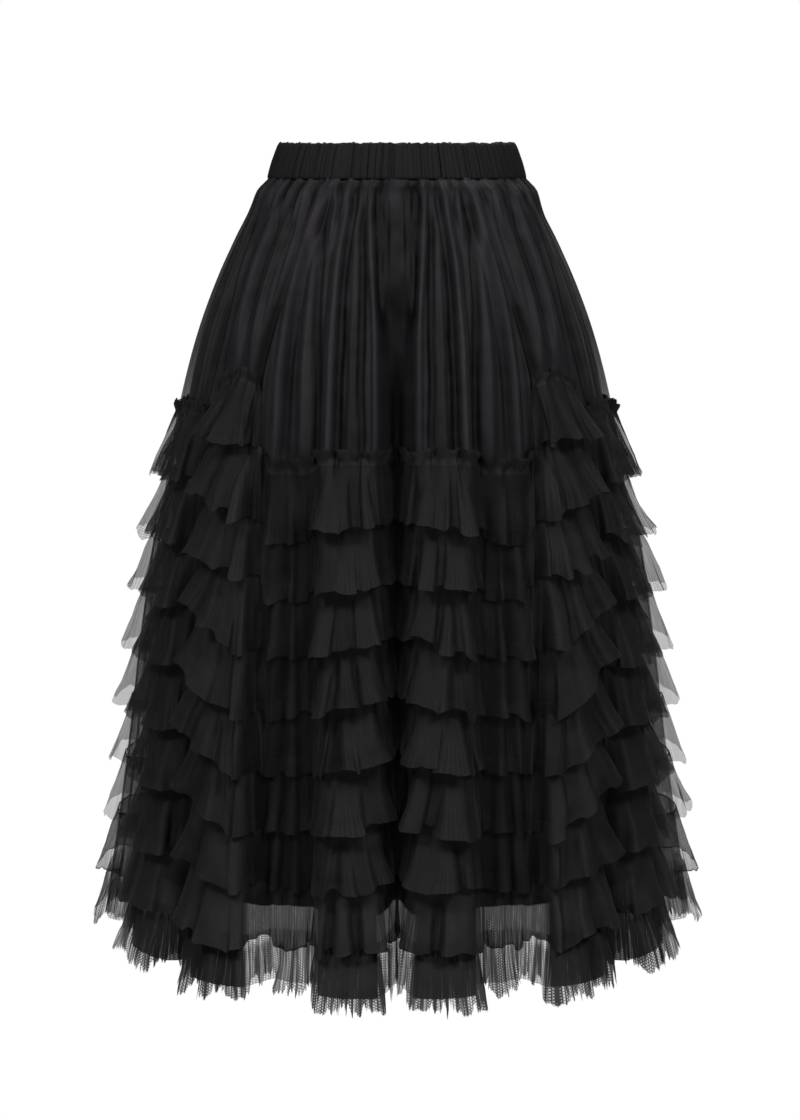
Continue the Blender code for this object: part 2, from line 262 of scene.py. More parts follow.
# The flat facets of every ruffle on the right-hand half, fold by fold. Each is given by where it
# starts, in columns on from the fold's own first column, and how far out it lies as a share of the
# fold depth.
FACETS = {
    "front": (
        (-0.45, -0.20), (-0.15, 0.20), (0.05, 0.70), (0.28, -0.30), (0.42, 0.60),
        (0.62, -0.65), (0.86, 0.80), (1.20, -0.55), (1.42, 0.90), (1.95, 0.10),
    ),
    "front_small": (
        (-0.20, -0.30), (0.55, 0.60), (1.10, -0.30), (1.85, 0.50), (2.35, -0.40), (2.75, 0.95),
        (3.40, -0.80),
    ),
    "side_front": (
        (-0.62, -0.90), (-0.18, 1.00), (0.18, -0.10), (0.45, -0.45), (0.70, 0.60),
        (1.15, -0.20), (1.55, 0.60), (2.10, 0.40), (2.60, -0.30),
    ),
    "front_side": ((0.10, 0.80), (0.90, 0.25), (1.40, 0.80), (2.40, 0.30)),
    "side": ((0.20, 0.30), (1.25, 0.00), (2.60, 0.20)),
    "back_side": ((0.10, 0.70), (0.90, -0.30), (1.50, 0.60), (2.60, 0.10)),
    "side_back": ((0.10, 0.80), (0.70, -0.20), (1.40, 0.90), (2.40, -0.10), (3.40, 0.30)),
    "back": ((0.10, 0.80), (0.90, -0.35), (1.40, 0.80), (2.60, 0.00)),
}

# Each ruffle fans out past the corners of its folds, and turns back behind them.
FAN = 0.014
FAN_BACK = 0.006
FLARE_BACK = 0.011
WIDEST_FLARE = 0.018
FAN_SHARES = (0.50, 0.55, 0.75, 1.00, 1.15, 1.15, 1.10, 0.50, 0.00)
FLARE_SHARES = (1.00, 0.95, 1.00, 1.00, 1.00, 0.95, 0.85, 0.65, 0.45)

# How much a fold's ruffles fan out at the corner nearer the middle and at the other.
FAN_CORNERS = {"front": (1.0, 0.3), "side_front": (0.7, 1.3)}

# The front folds' ruffles have a bell that ends this far towards the corner nearer the middle, and
# spreads over the flatter cloth there.
BELL_FOLD = "front"
BELL_EDGE = 0.12
BELL_SPREAD = 0.010
BELL_BACK = 0.006

# Lower down, the outer corners of the front folds' ruffles lie nearer the middle by this much, and
# the next ones further out. Each span is in degrees from the front, with the width of its edges.
FRONT_DRIFTS = (0.000, 0.004, 0.006, 0.008, 0.011, 0.011, 0.014, 0.009, 0.000)
FRONT_DRIFT_SPAN = (9, 21, 4)
NEXT_DRIFT = -0.005
NEXT_DRIFT_SPAN = (28, 38, 3)

# How much the last ruffle hangs below the skirt's own hem on the folds, and stops above it between
# them, and the flare that a fold is known by there.
HEM_HANG = 0.009
HEM_SHORT = 0.006
HEM_FOLDS = (0.004, 0.006)

# How the sizes of seeded creases, pinches, knife pleats and facets vary.
CREASE_SIZES = (0.45, 1.0)
PINCH_DEPTHS = (0.25, 1.0)
PINCH_WIDTHS = (0.7, 1.6)
KNIFE_PLEAT_SIZES = (0.3, 1.0)
FACET_SIZES = (0.7, 1.25)

# A facet or a knife pleat is at least this many lines wide. A facet tilts by this much, and its
# hem drops by this share of how far out it lies, and by an uneven drop and slope of its own.
NARROWEST_FACET = 4
FACET_TILT = 0.16
FACET_DROP = 0.45
OWN_DROP = 0.30
OWN_SLOPE = 0.25

# How far the facets stray from their places, in columns, at a ruffle's hem and near its seam.
HEM_STRAY = 0.07
SEAM_STRAY = 0.2

# A slow unevenness is made of fewer waves than this round the skirt. It makes a ruffle's forms
# stray along it by this much, and the ruffle hang in or out by this much.
SLOW_WAVES = 60
SLOW_STRAY = 0.0035
LIMPNESS = 0.0012

# How far the gathers reach down a ruffle, as a share, and down the overskirt: in the middle, how
# much that varies, at least and at most. The overskirt's end over this length.
RUFFLE_GATHERS = (0.42, 0.24, 0.15, 0.95)
WAIST_GATHERS = (0.078, 0.016, 0.050, 0.130)
WAIST_GATHERS_END = 0.04

# A ruffle is laid at least this far off the skirt. Its facets have this share of their room where
# its fold has no flare, and all of it from this flare on. Those near its seam are weaker.
CLEARANCE = 0.0016
LEAST_ROOM = 0.40
FULL_ROOM_FLARE = 0.012
SEAM_FACETS = 0.8
HEM_FACETS_PACE = 1.8

# The powers of the way down a ruffle that its ease, flare, fan and drop grow with.
EASE_POWER = 0.6
FLARE_POWER = 1.25
FAN_POWER = 1.8
DROP_POWER = 2

# A ruffle's forms have this share of their size at its seam, and its gathers have this share of
# theirs. It keeps this far off the skirt, and this much further at its hem.
FORMS_START = 0.25
GATHERS_SHARE = 0.9
NEAREST = 0.0018
NEAREST_MORE = 0.0014

# Painted light and shade on a ruffle, from how far its facets stand out: shifted towards painted
# shade by this much, at this strength and this much more down to the hem, and with this share of
# its gathers, or of its puffs on a heading, painted lighter where they stand out.
PAINTED_SHADE_SHIFT = 0.20
PAINTED_LIGHT_START = 0.55
PAINTED_LIGHT_MORE = 0.45
PAINTED_LIGHT_GATHERS = 0.7
PAINTED_LIGHT_PUFFS = 0.6

# The rows of a ruffle, as shares of the way down it, and those of a raw heading, each with its
# share of the heading's height and of how far it stands off.
RUFFLE_ROWS = (0.0, 0.05, 0.11, 0.19, 0.28, 0.38, 0.49, 0.60, 0.71, 0.81, 0.91, 1.0)
HEADING_ROWS = ((1.0, 0.80), (0.80, 0.75), (0.55, 0.55), (0.25, 0.28))

# A heading's height varies with its puffs and its gathers. It stands off by this much and puffs
# out and in by its depth of puffs, with this share of the gathers, and never nearer than the last.
HEADING_HEIGHTS = (1.15, 0.16, 0.10)
HEADING_STANDS = 0.0036
PUFF_DEPTH = 0.0052
HEADING_GATHERS = 0.6
HEADING_NEAREST = 0.0010

# A top ruffle covers the first ruffle's heading up to this many columns from its middle, and less
# over the next ones. The heading is this share shorter there.
COVERED = (1.6, 0.8)
COVERED_SHARE = 0.8

# Dents in a ruffle and ripples of its hem: what is added to its seed, how far apart they are, how
# many rows of them there are, and their size as a share of its setting.
DENTS = ((4, 0.015, 3, 1.0), (5, 0.0065, 7, 0.45))
RIPPLES = ((7, 0.011, 2, 0.30), (9, 0.004, 2, 0.14))

# The net is bunched on the folds, where the flare passes a least value by this much, and at this
# azimuth on both sides, this many degrees wide to each side with this edge. It opens towards the
# skirt's own sides over this many degrees, and each ruffle's starts further from them.
BUNCHED_FLARE = 0.006
BUNCHED_AT = 48
BUNCHED_WIDE = 9
BUNCHED_EDGE = 4
SIDE_EDGE = 10
OPEN_SIDES = 11.0
OPEN_SIDES_STEP = 0.9

# At what height each piece's bunches are placed, above what flare they are on a fold, and what
# share of them there is between the folds.
OVERSKIRT_BUNCHES = {"height": 0.5, "least": 0.0095}
RUFFLE_BUNCHES = {"height": 0.65, "least": 0.006, "between": 0.45}
LAST_RUFFLE_BUNCHES = {"height": 0.65, "least": 0.0095}

# The casing's closed section, up its inside and down its outside: heights, and how far in each
# point lies. Those nearer the outside than this have its full puckers, and the rest this share.
CASING_PROFILE = (
    (0.0338, 0.0030), (0.0200, 0.0034), (0.0040, 0.0034), (0.0009, 0.0028), (0.0000, 0.0017),
    (0.0008, 0.0005), (0.0030, 0.0000), (0.0080, 0.0000), (0.0130, 0.0001), (0.0180, 0.0000),
    (0.0230, 0.0000), (0.0280, 0.0001), (0.0315, 0.0002), (0.0335, 0.0006), (0.0340, 0.0016),
    (0.0338, 0.0030),
)
CASING_OUTSIDE = 0.002
INSIDE_PUCKERS = 0.4

# The casing's top edge is uneven by this much, over this height.
CASING_BUMPS = 0.0006
CASING_EDGE = 0.006

# Down the overskirt, the height where something starts to change and the length that it takes.
PAINTED_SHADE_LEAVES = (0.13, 0.05)
THIN_STARTS = (0.12, 0.05)
PAINTED_SIDE_SHADE_STARTS = (0.12, 0.06)
WAIST_LEAVES = (0.16, 0.18)
TUCKS_LEAVE = (0.048, 0.030)
JOIN_LEAVES = (OVERSKIRT_TOP, 0.012)
FINE_STARTS = (0.05, 0.06)
LOWER_STARTS = (0.30, 0.12)
NEAR_HEM_STARTS = (0.62, 0.08)

# The overskirt's net is thinner in its middle, and painted shade darkens its colour there, each by
# this much and over these degrees. It is so beside its middle too, which is in degrees from the
# front with the width of its edges.
THIN_MIDDLE = (0.7, 6)
PAINTED_SHADE_MIDDLE = (1.1, 5)
BESIDE_MIDDLE = (7, 16, 2)
THIN_BESIDE = 0.5
PAINTED_SHADE_BESIDE = 0.55

# The overskirt's top follows this share of the casing's puckers, this far in.
JOIN_PUCKERS = 0.8
JOIN_INSET = 0.0026

TUCK_DEPTH = 0.0018
KNIFE_PLEAT_DEPTH = 0.0010
KNIFE_PLEAT_LEAN = 0.0022

# Rows of points down the overskirt and the lining: from one height to the next, how many.
OVERSKIRT_ROWS = ((OVERSKIRT_TOP, 0.075, 12), (0.075, 0.31, 34), (0.31, OVERSKIRT_LENGTH, 30))
LINING_ROWS = ((LINING_TOP, 0.31, 26), (0.31, LINING_LENGTH, 20))

# From this height on, the lining loses the folds over this length.
LOBES_LEAVE = (0.10, 0.15)

# Seeds of the ruffles' creases. Each ruffle's is a step more than the last.
RUFFLE_SEED = 100
SEED_STEP = 10
TOP_RUFFLE_SEED = 300

# ---------------------------------------------------------------------------------------------
# The cloths and the stage.

# Each net: how many layers thick it is, how much closer it is in its bunches, how streaked it is,
# where it grows closer or more open towards its top and by how much, how much closer its hem's
# edging is, and whether its hem is raw.
Net = namedtuple("Net", "layers bunches streak top edging raw_hem")
NETS = {
    "skirt_net": Net(1.20, 0.32, 0.04, (0.930, 0.990, 0.50), 0.0, False),
    "first_net": Net(1.15, 0.22, 0.04, (0.800, 0.830, 0.55), 0.0, False),
    "ruffle_net": Net(1.15, 0.22, 0.04, (0.955, 0.985, 0.55), 0.0, False),
    "low_net": Net(1.50, 0.60, 0.04, (0.955, 0.985, 0.55), 0.5, False),
    "hem_net": Net(1.65, 0.66, 0.26, (0.720, 0.820, -0.30), 0.0, True),
}

# Each cloth's grain, as its spots to the metre across and down, and how fine its detail is.
STREAK_GRAIN = (260.0, 14.0, 2.0)
FRAY_GRAIN = (300.0, 9.0, 3.0)
WORN_GRAIN = (45.0, 1.0, 2.0)
MOTTLE_GRAIN = (60.0, 60.0, 3.0)
SATIN_WEAVE = (900.0, 160.0, 2.0)
SATIN_MOTTLE = (40.0, 12.0, 3.0)
CASING_RIBS = (700.0, 60.0, 3.0)
CASING_WEAVE = (1800.0, 1800.0, 2.0)

# How a net's noises and its edging spread: from and to, and some of them to what.
STREAK_SPREAD = (0.35, 0.65)
EDGING_SPREAD = (0.010, 0.028)
FOOT_SPREAD = (0.36, 0.66, -0.20, 0.70)
WORN_SPREAD = (0.42, 0.62, 0.04, 0.26)
FRAY_SPREAD = (0.34, 0.62, 0.0, 1.0)
MOTTLE_SPREAD = (0.3, 0.7, 0.35, 0.65)

# How sharply the hem's bunches start and its frayed edge ends, how far the painted light and
# shade of crest and fold move a net's colour, and the most of the light that it stops.
FOOT_SHARPNESS = 7.0
FRAY_SHARPNESS = 40.0
PAINTED_LIGHT_SHARE = 0.45
CLOSEST_NET = 0.97

# The height and strength of each cloth's fine relief, and how rough and how mirror-like the casing
# is.
NET_RELIEF = (0.0002, 0.35)
SATIN_RELIEF = (0.0002, 0.25)
CASING_RELIEF = (0.0004, 0.35)
CASING_POLISH = (0.75, 0.10)
SHEEN_ROUGHNESS = 0.4

# How many layers of net the light is followed through.
NET_LAYERS = 32

# The floor: how rough it is, how much of its colour its darker spots have, how many of them there
# are to the metre, and how many sides its disc has.
FLOOR_ROUGHNESS = 0.9
FLOOR_SHADE = 0.985
FLOOR_SPOTS = 3.0
FLOOR_SIDES = 96

# The lamps: name, place, size across and the setting for their light.
LAMPS = (
    ("key_right", (-1.5, -1.9, 1.5), 0.7, "key"),
    ("key_left", (1.5, -1.9, 1.5), 0.7, "key"),
    ("fill", (0.0, -2.2, 1.7), 1.0, "fill"),
    ("rear", (0.6, 2.1, 1.9), 0.9, "rear"),
)

# The camera's lens in millimetres, its tilt down in degrees and how far it stands off the axis.
LENS = 84.95
SENSOR_WIDTH = 36.0
CAMERA_TILT = 8.97
CAMERA_ACROSS = 0.003

# ---------------------------------------------------------------------------------------------
# The folds' columns, and the lines of points laid through them.

Column = namedtuple(
    "Column", "fold part at_waist at_hem reach gather flare first_seam lift slant"
)


def folds_all_round():
    """Every fold as (fold, side, groove behind it), going round from the front by the right."""
    right = [(fold, 1, fold) for fold in FOLDS]
    front = FOLDS[0]._replace(groove=FRONT_GROOVE)
    behind = FOLDS[-2::-1] + (front,)
    left = [(fold, -1, groove) for fold, groove in zip(FOLDS[::-1], behind)]
    return right + left


def edge_azimuth(fold, side, edge, where):
    """The azimuth of a fold's first (-1), middle (0) or last (1) line, going round."""
    middle = getattr(fold, "at_" + where)
    half = getattr(fold, "half_" + where)
    return (middle if side > 0 else 360 - middle) + edge * half


def lobe_columns(fold, side):
    """A fold's two corners and the crown between them."""
    for part, edge, crown, gather, flare in (
        ("first", -1, 0.0, 1.0, CORNER_FLARE_SHARE),
        ("middle", 0, CROWN, CROWN_GATHER, 1.0),
        ("last", 1, 0.0, 1.0, CORNER_FLARE_SHARE),
    ):
        yield Column(
            fold.name,
            part,
            edge_azimuth(fold, side, edge, "waist"),
            edge_azimuth(fold, side, edge, "hem"),
            fold.reach + crown,
            gather,
            fold.flare * flare,
            fold.first_seam,
            LOBE_LIFT - SAGS.get(fold.name, 0.0),
            -edge * side * fold.slant,
        )


def groove_columns(fold, side, after, after_side, groove):
    """The floor of the groove between a fold and the one after it, or its one line."""
    turn = 360 if after_side > side else 0
    shares = sorted({groove.floor_from, groove.floor_to})
    if side < 0:
        shares = [1 - share for share in shares[::-1]]
    for share in shares:
        azimuths = []
        for where in ("waist", "hem"):
            first = edge_azimuth(fold, side, 1, where)
            last = edge_azimuth(after, after_side, -1, where) + turn
            azimuths.append(first + (last - first) * share)
        seam = fold.first_seam + (after.first_seam - fold.first_seam) * share
        slant = (after_side * after.slant - side * fold.slant) / 2
        yield Column(
            fold.name, "groove", *azimuths, groove.groove, GROOVE_GATHER, 0.0, seam, 0.0, slant
        )


def skirt_columns():
    """Lines of points all round, three for each fold and one or two for each groove."""
    ring = folds_all_round()
    columns = []
    for index, (fold, side, groove) in enumerate(ring):
        after, after_side, _ = ring[(index + 1) % len(ring)]
        columns.extend(lobe_columns(fold, side))
        columns.extend(groove_columns(fold, side, after, after_side, groove))
    return columns


COLUMNS = skirt_columns()


def height_to_z(height):
    return BAND_HEIGHT / 2 - height


def smooth_step(share):
    share = np.clip(share, 0, 1)
    return share * share * (3 - 2 * share)


def ramp(value, start, width):
    """0 up to the start and 1 from a width after it, with a smooth step between."""
    return smooth_step((value - start) / width)


def window(value, start, end, width):
    """1 in the middle of a span and 0 outside it, with a smooth step at each end."""
    return smooth_step((value - start) / width) * smooth_step((end - value) / width)


def bulge(value, size, width):
    """A round rise of this size where the value is 0."""
    return size * np.exp(-((value / width) ** 2))


def uneven_reach(uneven, middle, varies, least, most):
    """How far gathers reach where they are this uneven."""
    return np.clip(middle + varies * uneven, least, most)


def half_turned(azimuth):
    """The same azimuth, between -180 and 180 degrees."""
    return (azimuth + 180) % 360 - 180


def eased(height, rows, field):
    """A smooth curve through one column of a table whose rows are in order of height."""
    heights = np.array([row.height for row in rows])
    values = np.array([getattr(row, field) for row in rows])
    slopes = np.gradient(values, heights)
    height = np.clip(height, heights[0], heights[-1])
    start = np.clip(np.searchsorted(heights, height) - 1, 0, len(heights) - 2)
    span = heights[start + 1] - heights[start]
    share = (height - heights[start]) / span
    rise = smooth_step(share)
    leaving = share * (1 - share) ** 2 * span
    arriving = share**2 * (share - 1) * span
    between = values[start] * (1 - rise) + values[start + 1] * rise
    return between + slopes[start] * leaving + slopes[start + 1] * arriving


def round_curve(values, places, turn=0.0):
    """A closed curve through a value at each column, which never runs past its values."""
    values = np.asarray(values, float)
    ring = np.concatenate([values[-2:] - turn, values, values[:3] + turn])
    steps = np.diff(ring)
    before, after = steps[:-1], steps[1:]
    same = before * after > 0
    slopes = np.where(same, 2 * before * after / np.where(same, before + after, 1), 0)
    start = np.floor(places).astype(int)
    share = places - start
    left, right = ring[start + 2], ring[start + 3]
    leaving, arriving = slopes[start + 1], slopes[start + 2]
    rise = smooth_step(share)
    curve = left * (1 - rise) + right * rise
    return curve + leaving * share * (1 - share) ** 2 + arriving * share**2 * (share - 1)


def unit(vectors):
    return vectors / np.linalg.norm(vectors, axis=-1, keepdims=True)


def section_points(height, azimuth, sections, swell):
    """Points on the plain oval at a height, moved out by swell along the oval's own normal."""
    half_width = eased(height, sections, "half_width")
    half_depth = eased(height, sections, "half_depth")
    sine, cosine = np.sin(np.radians(azimuth)), np.cos(np.radians(azimuth))
    outward = unit(np.stack([half_depth * sine, -half_width * cosine], axis=-1))
    flat = np.stack([half_width * sine, -half_depth * cosine], axis=-1)
    flat = flat + outward * swell[..., None]
    z = height_to_z(height) + np.zeros_like(sine)
    return np.concatenate([flat, z[..., None]], axis=-1)


class Lines:
    """Evenly spaced lines of points down the skirt, with what the cut gives each of them."""

    SPACED_AT = 0.5
    TRIES = 24

    def __init__(self, count):
        dense = np.arange(len(COLUMNS) * self.TRIES) / self.TRIES
        self._read(dense)
        ring = self.skin(np.full(len(dense), self.SPACED_AT), pleated=False)
        steps = np.linalg.norm(np.diff(ring, axis=0, append=ring[:1]), axis=1)
        girth = np.concatenate([[0.0], np.cumsum(steps)])
        self.length = girth[-1]
        wanted = np.linspace(0, self.length, count + 1)[:-1]
        self.count = count
        self._read(np.interp(wanted, girth, np.append(dense, len(COLUMNS))))
        self.girth = wanted
        self._turn_corners()

    def _read(self, places):
        """The cut's values at places given in columns."""
        self.places = places
        for name in ("reach", "gather", "flare", "first_seam", "lift", "slant"):
            values = [getattr(column, name) for column in COLUMNS]
            setattr(self, name, round_curve(values, places))
        for name in ("at_waist", "at_hem"):
            values = [getattr(column, name) for column in COLUMNS]
            setattr(self, name, round_curve(values, places, turn=360.0))
        top = self._top_columns()
        self.first_rise = round_curve(top, places)

    def away_from(self, place):
        """How far each line is from a place along the skirt, the shorter way round."""
        return (self.girth - place + self.length / 2) % self.length - self.length / 2

    def _turn_corners(self):
        """How far each line fans out past its fold's corners, and how its flare ends there."""
        self.fan = np.zeros(self.count)
        for index, column in enumerate(COLUMNS):
            if column.part != "middle":
                continue
            middle, first, last = np.interp((index, index - 1, index + 1), self.places, self.girth)
            away = self.away_from(middle)
            across = np.where(away < 0, away / (middle - first), away / (last - middle))
            beyond = np.maximum(np.maximum(away - (last - middle), (first - middle) - away), 0)
            nearer, other = FAN_CORNERS.get(column.fold, (1.0, 1.0))
            side = -1 if index > len(COLUMNS) / 2 else 1
            if side < 0:
                nearer, other = other, nearer
            corners = np.where(across < 0, nearer, other)
            share = np.clip(across, -1, 1) * corners * (1 - smooth_step(beyond / FAN_BACK))
            fan = share * FAN * column.flare / WIDEST_FLARE
            self.fan = np.where(beyond < FAN_BACK, fan, self.fan)
            if column.fold == BELL_FOLD:
                inwards = -across * side
                reach = (middle - first) if side > 0 else (last - middle)
                spread = np.clip((inwards + 1) / (BELL_EDGE + 1), 0, 1) ** 2
                spread *= 1 - smooth_step((inwards - BELL_EDGE) * reach / BELL_BACK)
                self.fan = self.fan - side * BELL_SPREAD * np.where(np.abs(across) < 1, spread, 0)
            near = (np.abs(across) > 1) & (beyond < FLARE_BACK)
            corner = column.flare * CORNER_FLARE_SHARE
            turned = corner * (1 - smooth_step(beyond / FLARE_BACK))
            self.flare = np.where(near, np.minimum(self.flare, turned), self.flare)

    @staticmethod
    def _top_columns():
        """The extra ruffles' seam at each column, or the height of a line above the first seam."""
        heights = [column.first_seam - TOP_RUFFLE_RISE for column in COLUMNS]
        for corner in top_corners():
            side = 1 if corner < len(COLUMNS) / 2 else -1
            for step, height in enumerate(TOP_RUFFLE_SEAM[::side]):
                heights[corner - 1 + step] = height
        return heights

    def azimuth(self, height):
        """The azimuth of each line at a height, and how much of its reach its fold has there."""
        share = np.clip((height - BAND_HEIGHT) / (LENGTH - BAND_HEIGHT), 0, 1)
        return self.at_waist + (self.at_hem - self.at_waist) * share, share**FOLD_GROWTH

    def skin(self, height, pleated=True, inset=0.0, lobes=1.0):
        """Points on the overskirt, at a height for each line."""
        azimuth, grown = self.azimuth(height)
        reach = np.minimum(self.reach, 0) + np.maximum(self.reach, 0) * lobes
        gathers = self.gather * eased(height, GATHERS, "depth") * lobes * BROAD_GATHERS
        swell = reach * grown + gathers
        if pleated:
            swell = swell + pleat_swell(azimuth, height)
        return section_points(height, azimuth, SKIRT_SECTIONS, swell - inset)

    def seam(self, tier):
        """The height of a ruffle's gathered seam along each line. Tier 0 is the first ruffle."""
        plain = self.first_seam + (LENGTH - self.first_seam) * tier / TIERS
        if tier == 0:
            return plain
        return plain + self.slant * SLANT_SHARES[tier - 1] * SEAM_SLANT

    def hem(self, tier):
        """The height of a ruffle's hem along each line."""
        plain = self.first_seam + (LENGTH - self.first_seam) * (tier + 1) / TIERS
        if tier < TIERS - 1:
            plain = plain + RUFFLE_OVERLAP
        else:
            plain = plain - HEM_SHORT + (HEM_HANG + HEM_SHORT) * ramp(self.flare, *HEM_FOLDS)
        return plain + self.slant * SLANT_SHARES[tier] * HEM_SLANT


def top_corners():
    """The first column of each fold that has an extra ruffle, right then left."""
    return [
        index
        for index, column in enumerate(COLUMNS)
        if column.fold == TOP_RUFFLE_FOLD and column.part == "first"
    ]


def pleats_all_round():
    """The pleats with their mirror images on the left, and like ones behind."""
    dice = np.random.default_rng(PLEAT_SEED)
    placed = list(SIDE_HOLLOWS)
    for sink in MIDDLE_SINKS:
        placed += [sink, sink._replace(azimuths=(180.0, 180.0), depth=sink.depth * BACK_SINKS)]
    for behind in (False, True):
        for side in (1, -1):
            if not behind:
                azimuths = [side * azimuth for azimuth in RECESS.azimuths]
                placed.append(RECESS._replace(azimuths=azimuths))
            for pleat in PLEATS:
                shift, scale = dice.normal(0, PLEAT_STRAYS[behind]), dice.uniform(*PLEAT_SIZES)
                depth = pleat.depth * scale
                azimuths = [
                    side * ((180 - azimuth) if behind else azimuth) + shift
                    for azimuth in turned_in(pleat.azimuths, depth)
                ]
                placed.append(pleat._replace(azimuths=azimuths, depth=depth))
    return placed


def turned_in(azimuths, depth):
    """A pleat's azimuths, turned so that its crest keeps its place from the middle."""
    widths = eased(np.array(PLEAT_LEVELS), SKIRT_SECTIONS, "half_width")
    return [
        azimuth - np.degrees(depth / width * min(np.tan(np.radians(azimuth)), STEEPEST_TURN))
        for azimuth, width in zip(azimuths, widths)
    ]


ALL_PLEATS = pleats_all_round()


def pleat_swell(azimuth, height, as_painted_light=False):
    """How far the pleats lift each point off the plain overskirt.

    As a share, it is the light and shade painted on the net: 1 for the fullest painted highlight
    on a small pleat's crest and -1 for the darkest painted shade in its valley.
    """
    half_width = eased(height, SKIRT_SECTIONS, "half_width")
    half_depth = eased(height, SKIRT_SECTIONS, "half_depth")
    angle = np.radians(azimuth)
    radius = np.hypot(half_width * np.cos(angle), half_depth * np.sin(angle))
    swell = np.zeros_like(azimuth)
    for pleat in ALL_PLEATS:
        if as_painted_light and (pleat.depth < SINKS_FROM or pleat.half_width > SMALL_PLEAT):
            continue
        centre = np.interp(height, PLEAT_LEVELS[: len(pleat.azimuths)], pleat.azimuths)
        away = np.radians(half_turned(azimuth - centre)) * radius
        across = np.clip(away / (pleat.half_width * PLEAT_REACH), -1, 1)
        if pleat.depth < SINKS_FROM:
            shape = smooth_step((1 - np.abs(across)) / SINK_SLOPE)
        else:
            power = CREST_POWER if pleat.depth > 0 else VALLEY_POWER
            shape = np.cos(across * np.pi / 2) ** power
        begun = ramp(height, pleat.start, pleat.full - pleat.start)
        left = smooth_step((pleat.end - height) / PLEAT_END)
        if as_painted_light:
            full = FULLEST_PAINTED_LIGHT if pleat.depth > 0 else DARKEST_PAINTED_SHADE
            share = np.clip(pleat.depth / full, -1, 1)
            swell = swell + share * np.sqrt(shape) * (begun > 0) * left
        else:
            swell = swell + pleat.depth * shape * begun * left
    return np.clip(swell, -1, 1) if as_painted_light else swell


def crease_ring(lines, seed, narrow, wide, depth, spill=0.0):
    """Creases at uneven places round the skirt, in turn out and in.

    It gives each line's distance out, its distance along the cloth's edge, and a hem unevenness.
    """
    dice = np.random.default_rng(seed)
    count = int(lines.length / ((narrow + wide) / 2)) // 2 * 2
    places = np.cumsum(dice.uniform(narrow, wide, count))
    places = places / places[-1] * lines.length + dice.uniform(0, wide)
    out = np.where(np.arange(count) % 2, 1.0, -1.0) * dice.uniform(*CREASE_SIZES, count) * depth
    along = dice.normal(0, 1, count) * spill
    uneven = dice.normal(0, 1, count)
    order = np.argsort(places % lines.length)
    places = (places % lines.length)[order]
    return [
        eased_ring(np.interp(lines.girth, places, values[order], period=lines.length))
        for values in (out, along, uneven)
    ]


def pinch_ring(lines, seed, narrow, wide, half_width, depth):
    """Narrow pinches at uneven places round the skirt, with soft flat cloth between them."""
    dice = np.random.default_rng(seed)
    places = np.cumsum(dice.uniform(narrow, wide, int(lines.length / ((narrow + wide) / 2))))
    places = places / places[-1] * lines.length
    depths = dice.uniform(*PINCH_DEPTHS, len(places))
    widths = dice.uniform(*PINCH_WIDTHS, len(places))
    swell = np.zeros(lines.count)
    for place, deep, broad in zip(places, depths, widths):
        across = np.clip(lines.away_from(place) / (half_width * broad), -1, 1)
        swell -= depth * deep * np.cos(across * np.pi / 2) ** 2
    return swell


def crumple(lines, seed, layers, size):
    """Soft uneven dents of several sizes all over a ruffle, row by row."""
    total = 0.0
    for more, across, down, share in layers:
        dice = np.random.default_rng(seed + more)
        count = int(lines.length / across)
        knots = dice.normal(0, 1, (down + 1, count))
        place = lines.girth / lines.length * count
        left = np.floor(place).astype(int) % count
        blend = smooth_step(place - np.floor(place))
        knots = knots[:, left] * (1 - blend) + knots[:, (left + 1) % count] * blend
        spots = np.array(RUFFLE_ROWS) * down
        above = np.minimum(spots.astype(int), down - 1)
        blend = smooth_step(spots - above)[:, None]
        total = total + size * share * (knots[above] * (1 - blend) + knots[above + 1] * blend)
    return total


def facet_starts(lines, dice, stray):
    """Where the facets start round the skirt, as lines, and how far out each lies."""
    firsts = [index for index, column in enumerate(COLUMNS) if column.part == "first"]
    found = []
    for ring_index, (fold, side, _) in enumerate(folds_all_round()):
        first = firsts[ring_index]
        facets = FACETS[fold.name]
        if side < 0:
            nearer = FACETS[FOLDS[max(FOLDS.index(fold) - 1, 0)].name]
            levels = [nearer[-1][1]] + [level for _, level in facets[:-1]]
            facets = [(start, level) for (start, _), level in zip(facets, levels)]
        for start, level in facets:
            start += dice.normal(0, stray)
            place = first + (start if side > 0 else 2 - start)
            found.append((place % len(COLUMNS), level * dice.uniform(*FACET_SIZES)))
    found.sort()
    starts = np.interp([place for place, _ in found], lines.places, np.arange(lines.count))
    starts = np.round(starts).astype(int)
    levels = np.array([level for _, level in found])
    kept = np.diff(starts, append=starts[0] + lines.count) >= NARROWEST_FACET
    return starts[kept], levels[kept]


def stretches(lines, starts, ends, at_start, at_end):
    """Straight stretches round the skirt, each from a value at its start to one at its end."""
    spots = np.stack([starts + 1, ends - 1], axis=1).ravel() % lines.count
    order = np.argsort(spots)
    values = np.stack([at_start, at_end], axis=1).ravel()
    every = np.arange(lines.count)
    return np.interp(every, spots[order], values[order], period=lines.count)


def facet_ring(lines, seed, stray):
    """Flat facets with sharp folds between them, in turn out and in along the cloth's edge.

    It gives each line's share of the fold depth, its lean along the edge and its drop at the hem.
    """
    dice = np.random.default_rng(seed)
    starts, levels = facet_starts(lines, dice, stray)
    ends = np.roll(starts, -1)
    ends[-1] += lines.count
    tilt = dice.normal(0, FACET_TILT, len(starts))
    drop = FACET_DROP * levels + dice.normal(0, OWN_DROP, len(starts))
    slope = dice.normal(0, OWN_SLOPE, len(starts))
    whole = np.ones(len(starts))
    return [
        eased_ring(stretches(lines, starts, ends, at_start, at_end), 2)
        for at_start, at_end in (
            (levels - tilt, levels + tilt),
            (-whole, whole),
            (drop - slope, drop + slope),
        )
    ]


